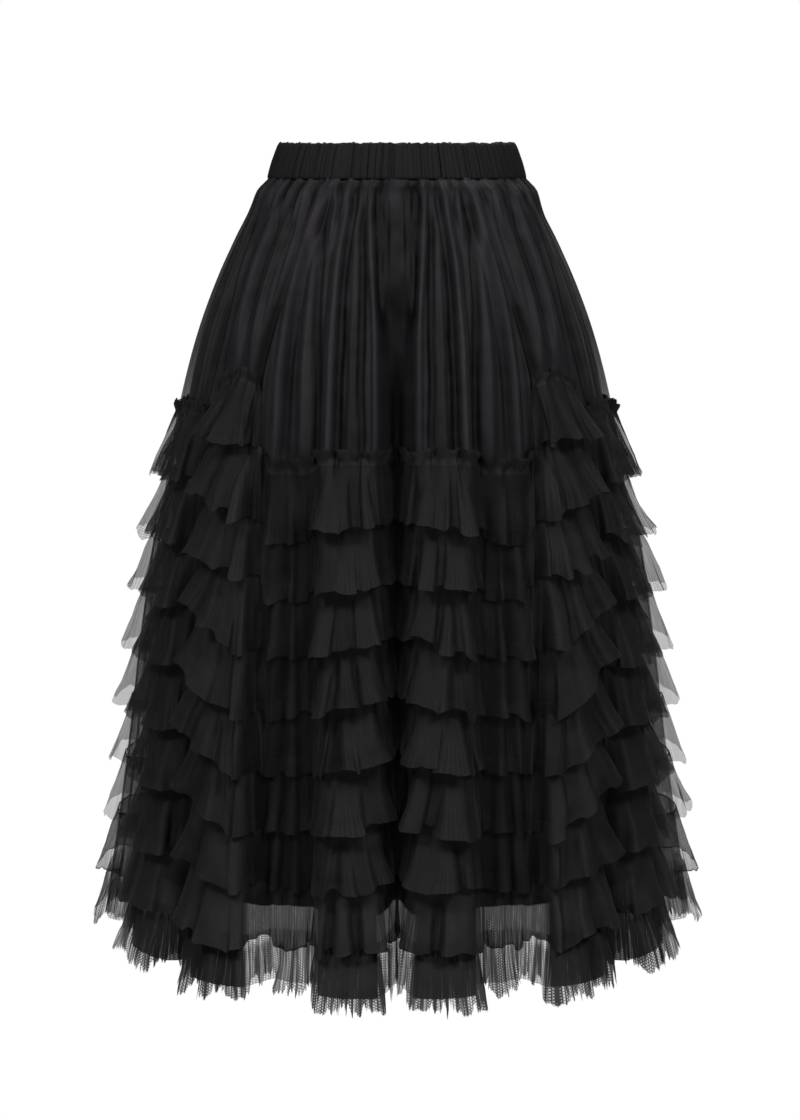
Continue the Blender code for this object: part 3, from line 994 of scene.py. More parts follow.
def knife_pleats(lines, seed, narrow, wide):
    """Narrow pleats at uneven places, where the cloth doubles back on itself.

    It gives each line's share of how far the pleat stands out and leans along the cloth.
    """
    dice = np.random.default_rng(seed)
    count = int(lines.length / ((narrow + wide) / 2))
    places = np.cumsum(dice.uniform(narrow, wide, count))
    starts = np.unique(np.round(places / places[-1] * lines.count).astype(int) % lines.count)
    starts = starts[np.diff(starts, append=starts[0] + lines.count) >= NARROWEST_FACET]
    ends = np.append(starts[1:], starts[0] + lines.count)
    strength = dice.uniform(*KNIFE_PLEAT_SIZES, len(starts))
    return stretches(lines, starts, ends, -strength, np.roll(strength, -1))


def eased_ring(values, times=1):
    for _ in range(times):
        values = (np.roll(values, 1) + 2 * values + np.roll(values, -1)) / 4
    return values


def slow_ring(lines, seed, size):
    """A slow unevenness all the way round."""
    dice = np.random.default_rng(seed)
    total = np.zeros(lines.count)
    for wave in range(1, SLOW_WAVES):
        turn, strength = dice.uniform(0, 2 * np.pi), dice.normal(0, 1) / SLOW_WAVES**0.5
        total += strength * np.sin(lines.girth / lines.length * 2 * np.pi * wave + turn)
    return total * size


def across_and_out(ring):
    """The level directions along a closed ring of points and out from it, smoothed twice."""
    flat = ring[:, :2]
    along = np.roll(flat, -1, axis=0) - np.roll(flat, 1, axis=0)
    for _ in range(2):
        along = (np.roll(along, 2, axis=0) + 2 * along + np.roll(along, -2, axis=0)) / 4
    along = unit(along)
    out = np.stack([along[:, 1], -along[:, 0]], axis=1)
    return np.pad(along, ((0, 0), (0, 1))), np.pad(out, ((0, 0), (0, 1)))


# ---------------------------------------------------------------------------------------------
# Laying cloth.


def lay_cloth(name, rows, finish, closed, wall=0.0, bunched=0.0, painted_light_and_shade=0.0):
    """One piece of cloth as a grid laid through rows of points, the top row first."""
    rows = np.asarray(rows)
    bunched = np.broadcast_to(bunched, rows.shape[:2])
    painted_light_and_shade = np.broadcast_to(painted_light_and_shade, rows.shape[:2])
    if closed:
        rows, bunched, painted_light_and_shade = (
            np.concatenate([values, values[:, :1]], axis=1) for values in (rows, bunched, painted_light_and_shade)
        )
    down, across = rows.shape[:2]
    steps = np.linalg.norm(np.diff(rows, axis=0), axis=2).mean(axis=1)
    height = np.append(0.0, np.cumsum(steps))
    width = np.linalg.norm(np.diff(rows[down // 2], axis=0), axis=1).sum()
    share_up = np.repeat((1 - height / height[-1])[:, None], across, axis=1)
    grid = bmesh.new()
    chart = grid.loops.layers.uv.new("cloth")
    # The "crest" layer holds the light and shade painted on the net's colour.
    layers = [grid.verts.layers.float.new(title) for title in ("up", "bunch", "crest")]
    up = layers[0]
    bmesh.ops.create_grid(
        grid, x_segments=across - 1, y_segments=down - 1, size=1, calc_uvs=True
    )
    places = rows[::-1].reshape(-1, 3).tolist()
    columns = [values[::-1].ravel().tolist() for values in (share_up, bunched, painted_light_and_shade)]
    for vert, place, *values in zip(grid.verts, places, *columns):
        vert.co = place
        for layer, value in zip(layers, values):
            vert[layer] = value
    for face in grid.faces:
        for loop in face.loops:
            spot = loop[chart].uv
            loop[chart].uv = (spot.x * width, loop.vert[up] * height[-1])
    if closed:
        bmesh.ops.remove_doubles(grid, verts=grid.verts, dist=1e-6)
    mesh = bpy.data.meshes.new(name)
    grid.to_mesh(mesh)
    grid.free()
    mesh.shade_smooth()
    mesh.materials.append(finish)
    piece = bpy.data.objects.new(name, mesh)
    bpy.context.scene.collection.objects.link(piece)
    if wall:
        shell = piece.modifiers.new("wall", "SOLIDIFY")
        shell.thickness = wall
        shell.offset = -1.0
        shell.use_even_offset = False
    return piece


def panel_lines(lines, back):
    """The lines of one panel, from side seam to side seam."""
    quarter = [
        index
        for index, column in enumerate(COLUMNS)
        if column.fold == "side" and column.part == "middle"
    ]
    right, left = (int(np.argmin(np.abs(lines.places - place))) for place in quarter)
    if back:
        return list(range(right, left + 1))
    return list(range(left, lines.count)) + list(range(right + 1))


def bunching(lines, height, least, between=0.0, open_sides=12.0):
    """How bunched the net is along each line: most on the folds, and not at the sides.

    Folds are where the flare passes the least. Between them it is bunched by a share.
    """
    azimuth, _ = lines.azimuth(height)
    from_side = np.abs((azimuth % 180) - 90)
    from_fold = np.abs(np.abs(half_turned(azimuth)) - BUNCHED_AT)
    on_folds = ramp(lines.flare, least, BUNCHED_FLARE)
    on_folds = np.maximum(on_folds, smooth_step((BUNCHED_WIDE - from_fold) / BUNCHED_EDGE))
    return ramp(from_side, open_sides, SIDE_EDGE) * (between + (1 - between) * on_folds)


def heading_rows(lines, seam, heading, gathers, puffs, ragged, peaks):
    """The rows of a raw heading above its seam, from the top, and the light and shade painted on
    each.
    """
    plain, by_puffs, by_gathers = HEADING_HEIGHTS
    for lift, stand in HEADING_ROWS:
        height = seam - heading * lift * (plain + by_puffs * peaks + by_gathers * ragged)
        skirt = lines.skin(height)
        _, out = across_and_out(skirt)
        off = CLEARANCE + stand * (HEADING_STANDS + puffs) + HEADING_GATHERS * gathers
        # Painted light on puffs that stand out, and painted shade on those set in.
        light = np.clip(puffs / PUFF_DEPTH, -1, 1) * PAINTED_LIGHT_PUFFS
        yield skirt + out * np.maximum(off, HEADING_NEAREST)[:, None], light


def ruffle_rows(lines, tier, seam, hem, heading, seed):
    """A ruffle's rows from its raw heading or its seam down to its hem, and the light and shade
    painted on each.
    """
    ruffle = bpy.context.scene.skirt_ruffles
    facets, lean, drop = facet_ring(lines, seed, HEM_STRAY)
    upper, upper_lean, _ = facet_ring(lines, seed + 6, SEAM_STRAY)
    azimuth = half_turned(lines.azimuth(Lines.SPACED_AT)[0])
    drift = FRONT_DRIFTS[tier] * window(np.abs(azimuth), *FRONT_DRIFT_SPAN)
    drift = drift + NEXT_DRIFT * window(np.abs(azimuth), *NEXT_DRIFT_SPAN)
    strayed = lines.girth + slow_ring(lines, seed + 8, SLOW_STRAY) + drift * np.sign(azimuth)
    lobe_flare, lobe_fan = (
        np.interp(strayed, lines.girth, values, period=lines.length)
        for values in (lines.flare, lines.fan)
    )
    gathers, _, ragged = crease_ring(
        lines, seed + 1, ruffle.gather_narrowest, ruffle.gather_widest, ruffle.gather_depth
    )
    puffs, _, peaks = crease_ring(
        lines, seed + 3, narrow=0.0045, wide=0.0110, depth=PUFF_DEPTH
    )
    lengths = uneven_reach(ragged, *RUFFLE_GATHERS)
    room = LEAST_ROOM + (1 - LEAST_ROOM) * smooth_step(lines.flare / FULL_ROOM_FLARE)
    limp = slow_ring(lines, seed + 2, LIMPNESS)
    dents = crumple(lines, seed, DENTS, ruffle.crumple)
    ripples = crumple(lines, seed, RIPPLES, ruffle.hem_unevenness)
    rows = []
    if heading is not None:
        rows += heading_rows(lines, seam, heading, gathers, puffs, ragged, peaks)
    for share, dent, ripple in zip(RUFFLE_ROWS, dents, ripples):
        skirt = lines.skin(seam + (hem - seam) * share)
        along, out = across_and_out(skirt)
        away = unit(out + unit(skirt * (1, 1, 0)))
        ease = CLEARANCE + EASE * share**EASE_POWER
        low = smooth_step(share * HEM_FACETS_PACE)
        growing = FORMS_START + (1 - FORMS_START) * share
        near_seam = 1 - smooth_step(share / lengths)
        folds = facets * low + upper * (1 - low) * SEAM_FACETS
        flare = lobe_flare * FLARE_SHARES[tier] * share**FLARE_POWER
        wave = folds * ruffle.fold_depth * room * growing
        small = gathers * near_seam * GATHERS_SHARE + dent * growing
        nearest = -ease + NEAREST + NEAREST_MORE * share
        off = np.maximum(flare + wave + small + limp * share, nearest)
        point = skirt + out * ease + away * off[:, None]
        spill = (lean * low + upper_lean * (1 - low)) * ruffle.fold_spill * room * share
        spill = spill + lobe_fan * FAN_SHARES[tier] * share**FAN_POWER
        point = point + along * spill[:, None]
        uneven = drop * ruffle.hem_unevenness + ripple
        point[:, 2] += lines.lift * share - uneven * room * share**DROP_POWER
        # Painted light on facets that stand out and on gathers near the seam, painted shade on
        # those set back, stronger towards the hem.
        light = (folds - PAINTED_SHADE_SHIFT) * (PAINTED_LIGHT_START + PAINTED_LIGHT_MORE * share)
        light = light + gathers / ruffle.gather_depth * near_seam * PAINTED_LIGHT_GATHERS
        rows.append((point, np.clip(light, -1, 1)))
    return [np.array(values) for values in zip(*rows)]


def casing_puckers(lines):
    """How far the drawn-up casing stands out or in, its lean and its uneven top."""
    puffs, lean, bumps = crease_ring(
        lines, 5, narrow=0.0030, wide=0.0100, depth=0.0007, spill=0.0008
    )
    pinches = pinch_ring(lines, 6, narrow=0.0030, wide=0.0200, half_width=0.0024, depth=0.0034)
    return puffs + pinches, lean, bumps


# ---------------------------------------------------------------------------------------------
# Finishes.


class Finish:
    """A material and short ways to add nodes to it."""

    def __init__(self, name):
        self.made = bpy.data.materials.new(name)
        self.made.use_nodes = True
        self.tree = self.made.node_tree
        self.shader = self.tree.nodes["Principled BSDF"]
        self.output = self.tree.nodes["Material Output"]

    def add(self, kind, links=(), **settings):
        node = self.tree.nodes.new(kind)
        for key, value in settings.items():
            setattr(node, key, value)
        for place, value in links:
            if hasattr(value, "is_output"):
                self.tree.links.new(value, node.inputs[place])
            else:
                node.inputs[place].default_value = value
        return node

    def maths(self, operation, *values, clamp=False):
        links = list(enumerate(values))
        return self.add("ShaderNodeMath", links, operation=operation, use_clamp=clamp).outputs[0]

    def chart(self):
        return self.add("ShaderNodeUVMap", uv_map="cloth").outputs[0]

    def attribute(self, name):
        return self.add("ShaderNodeAttribute", attribute_name=name).outputs["Fac"]

    def noise(self, vector, scale, detail=2.0):
        made = self.add(
            "ShaderNodeTexNoise", [("Vector", vector), ("Scale", scale), ("Detail", detail)]
        )
        return made.outputs["Fac"]

    def grain(self, chart, across, down, detail):
        """Noise that is drawn out along the cloth's own chart."""
        drawn = self.add("ShaderNodeMapping", [(0, chart), (3, (across, down, 1.0))])
        return self.noise(drawn.outputs[0], 1.0, detail)

    def spread(self, value, low, high, to_low, to_high):
        made = self.add(
            "ShaderNodeMapRange", [(0, value), (1, low), (2, high), (3, to_low), (4, to_high)]
        )
        return made.outputs[0]

    def closer(self, cover, value, low, high, to_low, to_high):
        """A net's cover with more added to it, as a value goes from low to high."""
        return self.maths("ADD", cover, self.spread(value, low, high, to_low, to_high))

    def past(self, value, edge, sharpness):
        """0 up to the edge, rising to 1 past it."""
        beyond = self.maths("SUBTRACT", value, edge)
        return self.maths("MULTIPLY", beyond, sharpness, clamp=True)

    def colours(self, share, dark, light):
        made = self.add("ShaderNodeMix", data_type="RGBA")
        self.tree.links.new(share, made.inputs[0])
        made.inputs[6].default_value = (*dark, 1.0)
        made.inputs[7].default_value = (*light, 1.0)
        return made.outputs[2]

    def into(self, socket, value):
        self.tree.links.new(value, self.shader.inputs[socket])

    def polish(self, roughness, shine):
        self.shader.inputs["Roughness"].default_value = roughness
        self.shader.inputs["Specular IOR Level"].default_value = shine

    def bump(self, height, distance, strength):
        made = self.add(
            "ShaderNodeBump",
            [("Height", height), ("Distance", distance), ("Strength", strength)],
        )
        self.into("Normal", made.outputs[0])


def net_threads(finish, chart, pitch):
    """A net of threads in three directions: 1 on a thread, and less between them."""
    waves = []
    for turn in (0.0, 60.0, 120.0):
        step = np.array([np.cos(np.radians(turn)), np.sin(np.radians(turn)), 0.0])
        dot = finish.add(
            "ShaderNodeVectorMath",
            [(0, chart), (1, tuple(step * 2 * np.pi / pitch))],
            operation="DOT_PRODUCT",
        ).outputs["Value"]
        waves.append(finish.maths("SINE", dot))
    return finish.maths("MAXIMUM", finish.maths("MAXIMUM", waves[0], waves[1]), waves[2])


def tulle_finish(name, look):
    """Black net. More of the light stops at its threads, its seam and its bunched places."""
    net = NETS[name]
    finish = Finish(name)
    chart = finish.chart()
    threads = net_threads(finish, chart, look.net_pitch)
    closed = look.net_open * net.layers, look.net_shut * net.layers
    cover = finish.spread(threads, 0.0, 1.0, *closed)
    streaks = finish.grain(chart, *STREAK_GRAIN)
    cover = finish.closer(cover, streaks, *STREAK_SPREAD, -net.streak, net.streak * 1.5)
    up = finish.attribute("up")
    bunch = finish.attribute("bunch")
    start, end, more = net.top
    cover = finish.closer(cover, up, start, end, 0.0, more)
    if net.edging:
        cover = finish.closer(cover, up, *EDGING_SPREAD, net.edging, 0.0)
    if net.raw_hem:
        fray = finish.grain(chart, *FRAY_GRAIN)
        foot = finish.spread(fray, *FOOT_SPREAD)
        dense = finish.past(up, foot, FOOT_SHARPNESS)
        bunch = finish.maths("MULTIPLY", bunch, dense)
    cover = finish.maths("ADD", cover, finish.maths("MULTIPLY", bunch, net.bunches))
    if net.raw_hem:
        depth = finish.spread(finish.grain(chart, *WORN_GRAIN), *WORN_SPREAD)
        edge = finish.maths("MULTIPLY", finish.spread(fray, *FRAY_SPREAD), depth)
        cover = finish.maths("MULTIPLY", cover, finish.past(up, edge, FRAY_SHARPNESS))
    mottle = finish.spread(finish.grain(chart, *MOTTLE_GRAIN), *MOTTLE_SPREAD)
    # The net's colour runs from painted shade to painted light with the "crest" attribute, on top
    # of a random mottle of its own tone.
    crest = finish.maths("MULTIPLY", finish.attribute("crest"), PAINTED_LIGHT_SHARE)
    mottle_and_painted_light = finish.maths("ADD", mottle, crest, clamp=True)
    if name == "skirt_net":
        finish.into("Base Color", finish.colours(mottle_and_painted_light, look.skirt_painted_shade, look.skirt_painted_light))
        finish.polish(look.skirt_roughness, look.skirt_shine)
    else:
        finish.into("Base Color", finish.colours(mottle_and_painted_light, look.tulle_painted_shade, look.tulle_painted_light))
        finish.polish(look.roughness, look.shine)
    finish.shader.inputs["Sheen Weight"].default_value = look.sheen
    finish.shader.inputs["Sheen Roughness"].default_value = SHEEN_ROUGHNESS
    finish.bump(threads, *NET_RELIEF)
    clear = finish.add("ShaderNodeBsdfTransparent")
    cover = finish.maths("MINIMUM", finish.maths("MAXIMUM", cover, 0.0), CLOSEST_NET)
    mixed = finish.add("ShaderNodeMixShader", [(0, cover)])
    finish.tree.links.new(clear.outputs[0], mixed.inputs[1])
    finish.tree.links.new(finish.shader.outputs[0], mixed.inputs[2])
    finish.tree.links.new(mixed.outputs[0], finish.output.inputs["Surface"])
    return finish.made


def satin_finish(name, look):
    """The lining's smooth dark cloth, with a dull shine."""
    finish = Finish(name)
    chart = finish.chart()
    weave = finish.grain(chart, *SATIN_WEAVE)
    mottle = finish.grain(chart, *SATIN_MOTTLE)
    finish.into("Base Color", finish.colours(mottle, look.satin_dark, look.satin_light))
    finish.polish(look.satin_roughness, look.satin_shine)
    finish.bump(weave, *SATIN_RELIEF)
    return finish.made


def casing_finish(name, look):
    """The casing's ribbed cloth."""
    finish = Finish(name)
    chart = finish.chart()
    ribs = finish.grain(chart, *CASING_RIBS)
    weave = finish.grain(chart, *CASING_WEAVE)
    finish.into("Base Color", finish.colours(ribs, look.casing_dark, look.casing_light))
    finish.polish(*CASING_POLISH)
    finish.bump(finish.maths("ADD", ribs, weave), *CASING_RELIEF)
    return finish.made


# ---------------------------------------------------------------------------------------------
# Settings.


def metres(name, text, default):
    return bpy.props.FloatProperty(
        name=name, description=text, default=default, unit="LENGTH", precision=4
    )


def share(name, text, default):
    return bpy.props.FloatProperty(
        name=name, description=text, default=default, min=0.0, max=1.0, subtype="FACTOR"
    )


def strength(name, text, default):
    return bpy.props.FloatProperty(name=name, description=text, default=default, min=0.0)


def colour(name, text, default):
    return bpy.props.FloatVectorProperty(
        name=name, description=text, default=default, size=3, min=0.0, max=1.0, subtype="COLOR"
    )


class SkirtRuffles(bpy.types.PropertyGroup):
    """How the ruffles are gathered and folded."""

    fold_depth: metres("Fold depth", "How far a fold stands out at the hem", 0.0084)
    fold_spill: metres("Fold spill", "How far a fold leans along the hem", 0.0030)
    gather_narrowest: metres("Narrowest gather", "Least width of a gather at the seam", 0.0035)
    gather_widest: metres("Widest gather", "Most width of a gather at the seam", 0.0090)
    gather_depth: metres("Gather depth", "How far a gather stands out at the seam", 0.0025)
    crumple: metres("Crumple", "How deep the soft dents in the ruffles are", 0.0011)
    hem_unevenness: metres("Hem unevenness", "How far the hems wander up and down", 0.0055)


class SkirtLook(bpy.types.PropertyGroup):
    """Colours and shine of the three cloths."""

    # The dark and light colours of the net and the overskirt are the ends of painted shade in
    # folds and pleats and painted light on crests; a random mottle moves between them too.
    tulle_painted_shade: colour("Tulle, dark", "Colour of the net in a fold", (0.0034, 0.0033, 0.0034))
    tulle_painted_light: colour("Tulle, light", "Colour of the net on a crest", (0.0120, 0.0116, 0.0120))
    skirt_painted_shade: colour("Overskirt, dark", "Its colour in a pleat", (0.0008, 0.0007, 0.0008))
    skirt_painted_light: colour("Overskirt, light", "Its colour on a crest", (0.0170, 0.0153, 0.0177))
    skirt_roughness: share("Overskirt roughness", "Roughness of the overskirt", 0.50)
    skirt_shine: share("Overskirt shine", "Mirror-like share of the overskirt", 0.06)
    net_pitch: metres("Net pitch", "Distance between the net's threads", 0.0020)
    net_open: share("Net, open", "Share of light stopped between threads", 0.20)
    net_shut: share("Net, shut", "Share of light stopped at a thread", 0.56)
    roughness: share("Tulle roughness", "Roughness of the net", 0.55)
    shine: share("Tulle shine", "Mirror-like share of the net's threads", 0.06)
    sheen: share("Tulle sheen", "Soft sheen of the net", 0.03)
    satin_dark: colour("Satin, dark", "Darkest colour of the lining", (0.0028, 0.0024, 0.0030))
    satin_light: colour("Satin, light", "Lightest colour of the lining", (0.0048, 0.0041, 0.0051))
    satin_roughness: share("Satin roughness", "Roughness of the lining", 0.48)
    satin_shine: share("Satin shine", "Mirror-like share of the lining", 0.28)
    casing_dark: colour("Casing, dark", "Its darkest colour", (0.0036, 0.0034, 0.0035))
    casing_light: colour("Casing, light", "Its lightest colour", (0.0082, 0.0077, 0.0079))


class SkirtStage(bpy.types.PropertyGroup):
    """The floor, the lamps and the camera."""

    floor_drop: metres("Floor drop", "How far the floor lies below the waist", 1.50)
    floor_radius: metres("Floor radius", "How far the floor reaches", 1.30)
    floor_colour: colour("Floor colour", "Colour of the floor", (0.86, 0.86, 0.86))
    sky: strength("Surround", "Light from all round", 0.16)
    key: strength("Key lamps", "Light of each of the soft lamps to the right and left", 2.4)
    fill: strength("Fill lamp", "Light of the soft lamp in front", 1.0)
    rear: strength("Rear lamp", "Light of the soft lamp behind", 2.3)
    camera_distance: metres("Camera distance", "From the skirt's axis to the camera", 2.6)


# ---------------------------------------------------------------------------------------------
# Pieces.

OVERSKIRT_PIECES = ["tulle_overskirt_front", "tulle_overskirt_back"]


def finish_named(name):
    """A finish, made once from the colours that are set."""
    if name in bpy.data.materials:
        return bpy.data.materials[name]
    make = {"lining_satin": satin_finish, "casing_cloth": casing_finish}.get(name, tulle_finish)
    return make(name, bpy.context.scene.skirt_look)


def declare(piece, node, cut, rests_on):
    """Hang a piece from the root and hide the solid that it takes the place of. Its cut is not
    used.
    """
    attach(piece, "root")
    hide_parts(node)
    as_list(rests_on)


def spaced(stretches_down):
    """The heights of rows, from a table of stretches that leave their last row to the next."""
    *upper, (top, bottom, count) = stretches_down
    heights = [np.linspace(start, end, rows)[:-1] for start, end, rows in upper]
    return np.concatenate([*heights, np.linspace(top, bottom, count)])


def hang_panels(part, slot, finish, cut, lines, rows, wall=0.0, bunched=0.0, painted_light_and_shade=0.0):
    """Lay the front and the back panel of a part that hangs from the waistband."""
    bunched = np.broadcast_to(bunched, rows.shape[:2])
    painted_light_and_shade = np.broadcast_to(painted_light_and_shade, rows.shape[:2])
    for face, back in (("front", False), ("back", True)):
        chosen = panel_lines(lines, back)
        piece = lay_cloth(
            f"{slot}_{part}_{face}", rows[:, chosen], finish_named(finish), closed=False,
            wall=wall, bunched=bunched[:, chosen], painted_light_and_shade=painted_light_and_shade[:, chosen],
        )
        declare(piece, f"{part}_{face}", cut, ["casing_waistband"])


class SKIRT_OT_waistband(bpy.types.Operator):
    """Lay the elastic casing, drawn up into fine uneven puckers"""

    bl_idname = "skirt.waistband"
    bl_label = "Waistband"

    def execute(self, context):
        lines = Lines(LINES)
        puckers, lean, bumps = casing_puckers(lines)
        rows = []
        for height, inset in CASING_PROFILE:
            draw = puckers * (1.0 if inset < CASING_OUTSIDE else INSIDE_PUCKERS)
            level = np.full(lines.count, height)
            ring = section_points(level, lines.at_waist, BAND_SECTIONS, draw - inset)
            ring[:, 2] -= bumps * CASING_BUMPS * (1 - smooth_step(height / CASING_EDGE))
            along, _ = across_and_out(ring)
            rows.append(ring + along * (lean * (height / BAND_HEIGHT - 0.5))[:, None])
        piece = lay_cloth("casing_waistband", rows, finish_named("casing_cloth"), closed=True)
        declare(piece, "waistband", CASING_CUT, OVERSKIRT_PIECES)
        return {"FINISHED"}


class SKIRT_OT_overskirt(bpy.types.Operator):
    """Hang the gathered tulle overskirt from the waistband, as a front and a back panel"""

    bl_idname = "skirt.overskirt"
    bl_label = "Overskirt"

    def execute(self, context):
        lines = Lines(LINES)
        gathers, _, uneven = crease_ring(lines, 21, narrow=0.0085, wide=0.0200, depth=0.0018)
        lengths = uneven_reach(uneven, *WAIST_GATHERS)
        fine, _, _ = crease_ring(lines, 22, narrow=0.0120, wide=0.0360, depth=0.0005)
        tucks, _, _ = crease_ring(lines, 24, narrow=0.0120, wide=0.0300, depth=TUCK_DEPTH)
        doubled = knife_pleats(lines, 23, narrow=0.007, wide=0.026)
        puckers, _, _ = casing_puckers(lines)
        heights = np.append(OVERSKIRT_TUCKED, spaced(OVERSKIRT_ROWS))
        rows = []
        near_waist = []
        painted_light_and_shade = []
        for height in heights:
            level = np.full(lines.count, height)
            ring = lines.skin(level)
            along, out = across_and_out(ring)
            lower = ramp(height, *LOWER_STARTS)
            drawn = 1 - ramp(height, *TUCKS_LEAVE)
            joined = 1 - ramp(height, *JOIN_LEAVES)
            gathered = smooth_step((lengths - height) / WAIST_GATHERS_END)
            short = (gathers * gathered + tucks * drawn) * (height > BAND_HEIGHT)
            short = short + (JOIN_PUCKERS * puckers - JOIN_INSET) * joined
            long = fine * ramp(height, *FINE_STARTS) * (1 - lower)
            long = long + doubled * KNIFE_PLEAT_DEPTH * lower
            ring = ring + out * (short + long)[:, None]
            rows.append(ring + along * (doubled * KNIFE_PLEAT_LEAN * lower)[:, None])
            azimuth, _ = lines.azimuth(height)
            from_front = np.abs(half_turned(azimuth))
            beside = window(from_front, *BESIDE_MIDDLE)
            thin = bulge(from_front, *THIN_MIDDLE) + THIN_BESIDE * beside
            thin = thin * ramp(height, *THIN_STARTS)
            near_waist.append((1 - ramp(height, *WAIST_LEAVES)) * (1 - thin))
            # Painted shade down the middle of the front and beside it, painted light on the small
            # pleats that stand out and on the tucks, and painted shade in the pleats' valleys.
            painted_shade = bulge(from_front, *PAINTED_SHADE_MIDDLE) * (1 - ramp(height, *PAINTED_SHADE_LEAVES))
            painted_shade = painted_shade + PAINTED_SHADE_BESIDE * beside * ramp(height, *PAINTED_SIDE_SHADE_STARTS)
            light = pleat_swell(azimuth, level, as_painted_light=True) - painted_shade
            painted_light_and_shade.append(np.clip(light + tucks / TUCK_DEPTH * drawn, -1, 1))
        near_hem = ramp(heights, *NEAR_HEM_STARTS)
        bunched = np.outer(1 + near_hem, bunching(lines, **OVERSKIRT_BUNCHES))
        hang_panels(
            "overskirt", "tulle", "skirt_net", OVERSKIRT_CUT, lines, np.array(rows),
            bunched=np.maximum(bunched, near_waist), painted_light_and_shade=np.array(painted_light_and_shade),
        )
        return {"FINISHED"}


class SKIRT_OT_lining(bpy.types.Operator):
    """Hang the satin lining, which shows through the net and ends above the hem"""

    bl_idname = "skirt.lining"
    bl_label = "Lining"

    def execute(self, context):
        lines = Lines(LINING_LINES)
        rows = []
        for height in spaced(LINING_ROWS):
            level = np.full(lines.count, height)
            inset = eased(level, LINING_INSETS, "depth")
            rows.append(lines.skin(level, inset=inset, lobes=1 - ramp(height, *LOBES_LEAVE)))
        hang_panels(
            "lining", "satin", "lining_satin", LINING_CUT, lines, np.array(rows), LINING_WALL
        )
        return {"FINISHED"}


class SKIRT_OT_ruffles(bpy.types.Operator):
    """Sew the nine gathered ruffles round the overskirt"""

    bl_idname = "skirt.ruffles"
    bl_label = "Ruffles"

    def execute(self, context):
        lines = Lines(LINES)
        covered = np.zeros(lines.count)
        for corner in top_corners():
            away = np.abs(lines.places - corner - 1)
            covered = np.maximum(covered, 1 - ramp(away, *COVERED))
        heading = HEADING_HEIGHT * (1 - COVERED_SHARE * covered)
        nets = {0: "first_net", TIERS - 2: "low_net", TIERS - 1: "hem_net"}
        for tier in range(TIERS):
            first = heading if tier == 0 else None
            seed = RUFFLE_SEED + SEED_STEP * tier
            rows, painted_light_and_shade = ruffle_rows(
                lines, tier, lines.seam(tier), lines.hem(tier), first, seed
            )
            bunches = RUFFLE_BUNCHES if tier < TIERS - 1 else LAST_RUFFLE_BUNCHES
            open_sides = OPEN_SIDES + OPEN_SIDES_STEP * tier
            bunched = bunching(lines, open_sides=open_sides, **bunches)
            finish = finish_named(nets.get(tier, "ruffle_net"))
            name = f"ruffle_{tier + 1}"
            piece = lay_cloth(
                f"tulle_{name}", rows, finish, closed=True, bunched=bunched, painted_light_and_shade=painted_light_and_shade
            )
            declare(piece, name, RUFFLE_CUTS[tier], OVERSKIRT_PIECES)
        return {"FINISHED"}


class SKIRT_OT_top_ruffles(bpy.types.Operator):
    """Sew the short extra ruffle above the first one on each side-front fold"""

    bl_idname = "skirt.top_ruffles"
    bl_label = "Top ruffles"

    def execute(self, context):
        lines = Lines(LINES)
        heading = np.full(lines.count, HEADING_HEIGHT)
        hem = lines.seam(0) + TOP_RUFFLE_OVERLAP + lines.slant * TOP_RUFFLE_SLANT
        rows, painted_light_and_shade = ruffle_rows(lines, 0, lines.first_rise, hem, heading, TOP_RUFFLE_SEED)
        for (side, before, after), corner in zip(TOP_RUFFLE_ENDS, top_corners()):
            across = (lines.places >= corner - before) & (lines.places <= corner + after)
            name = f"top_ruffle_{side}"
            piece = lay_cloth(
                f"tulle_{name}", rows[:, across], finish_named("first_net"), closed=False,
                bunched=1.0, painted_light_and_shade=painted_light_and_shade[:, across],
            )
            declare(piece, name, TOP_RUFFLE_CUT, OVERSKIRT_PIECES[:1])
        return {"FINISHED"}


def soft_lamp(name, place, size, strength):
    """A round lamp that faces the waist and gives it this much light."""
    data = bpy.data.lights.new(name, "AREA")
    data.shape = "DISK"
    data.size = size
    data.energy = strength * np.pi * Vector(place).length_squared
    lamp = bpy.data.objects.new(name, data)
    lamp.location = place
    lamp.rotation_euler = Vector(place).to_track_quat("Z", "Y").to_euler()
    bpy.context.scene.collection.objects.link(lamp)


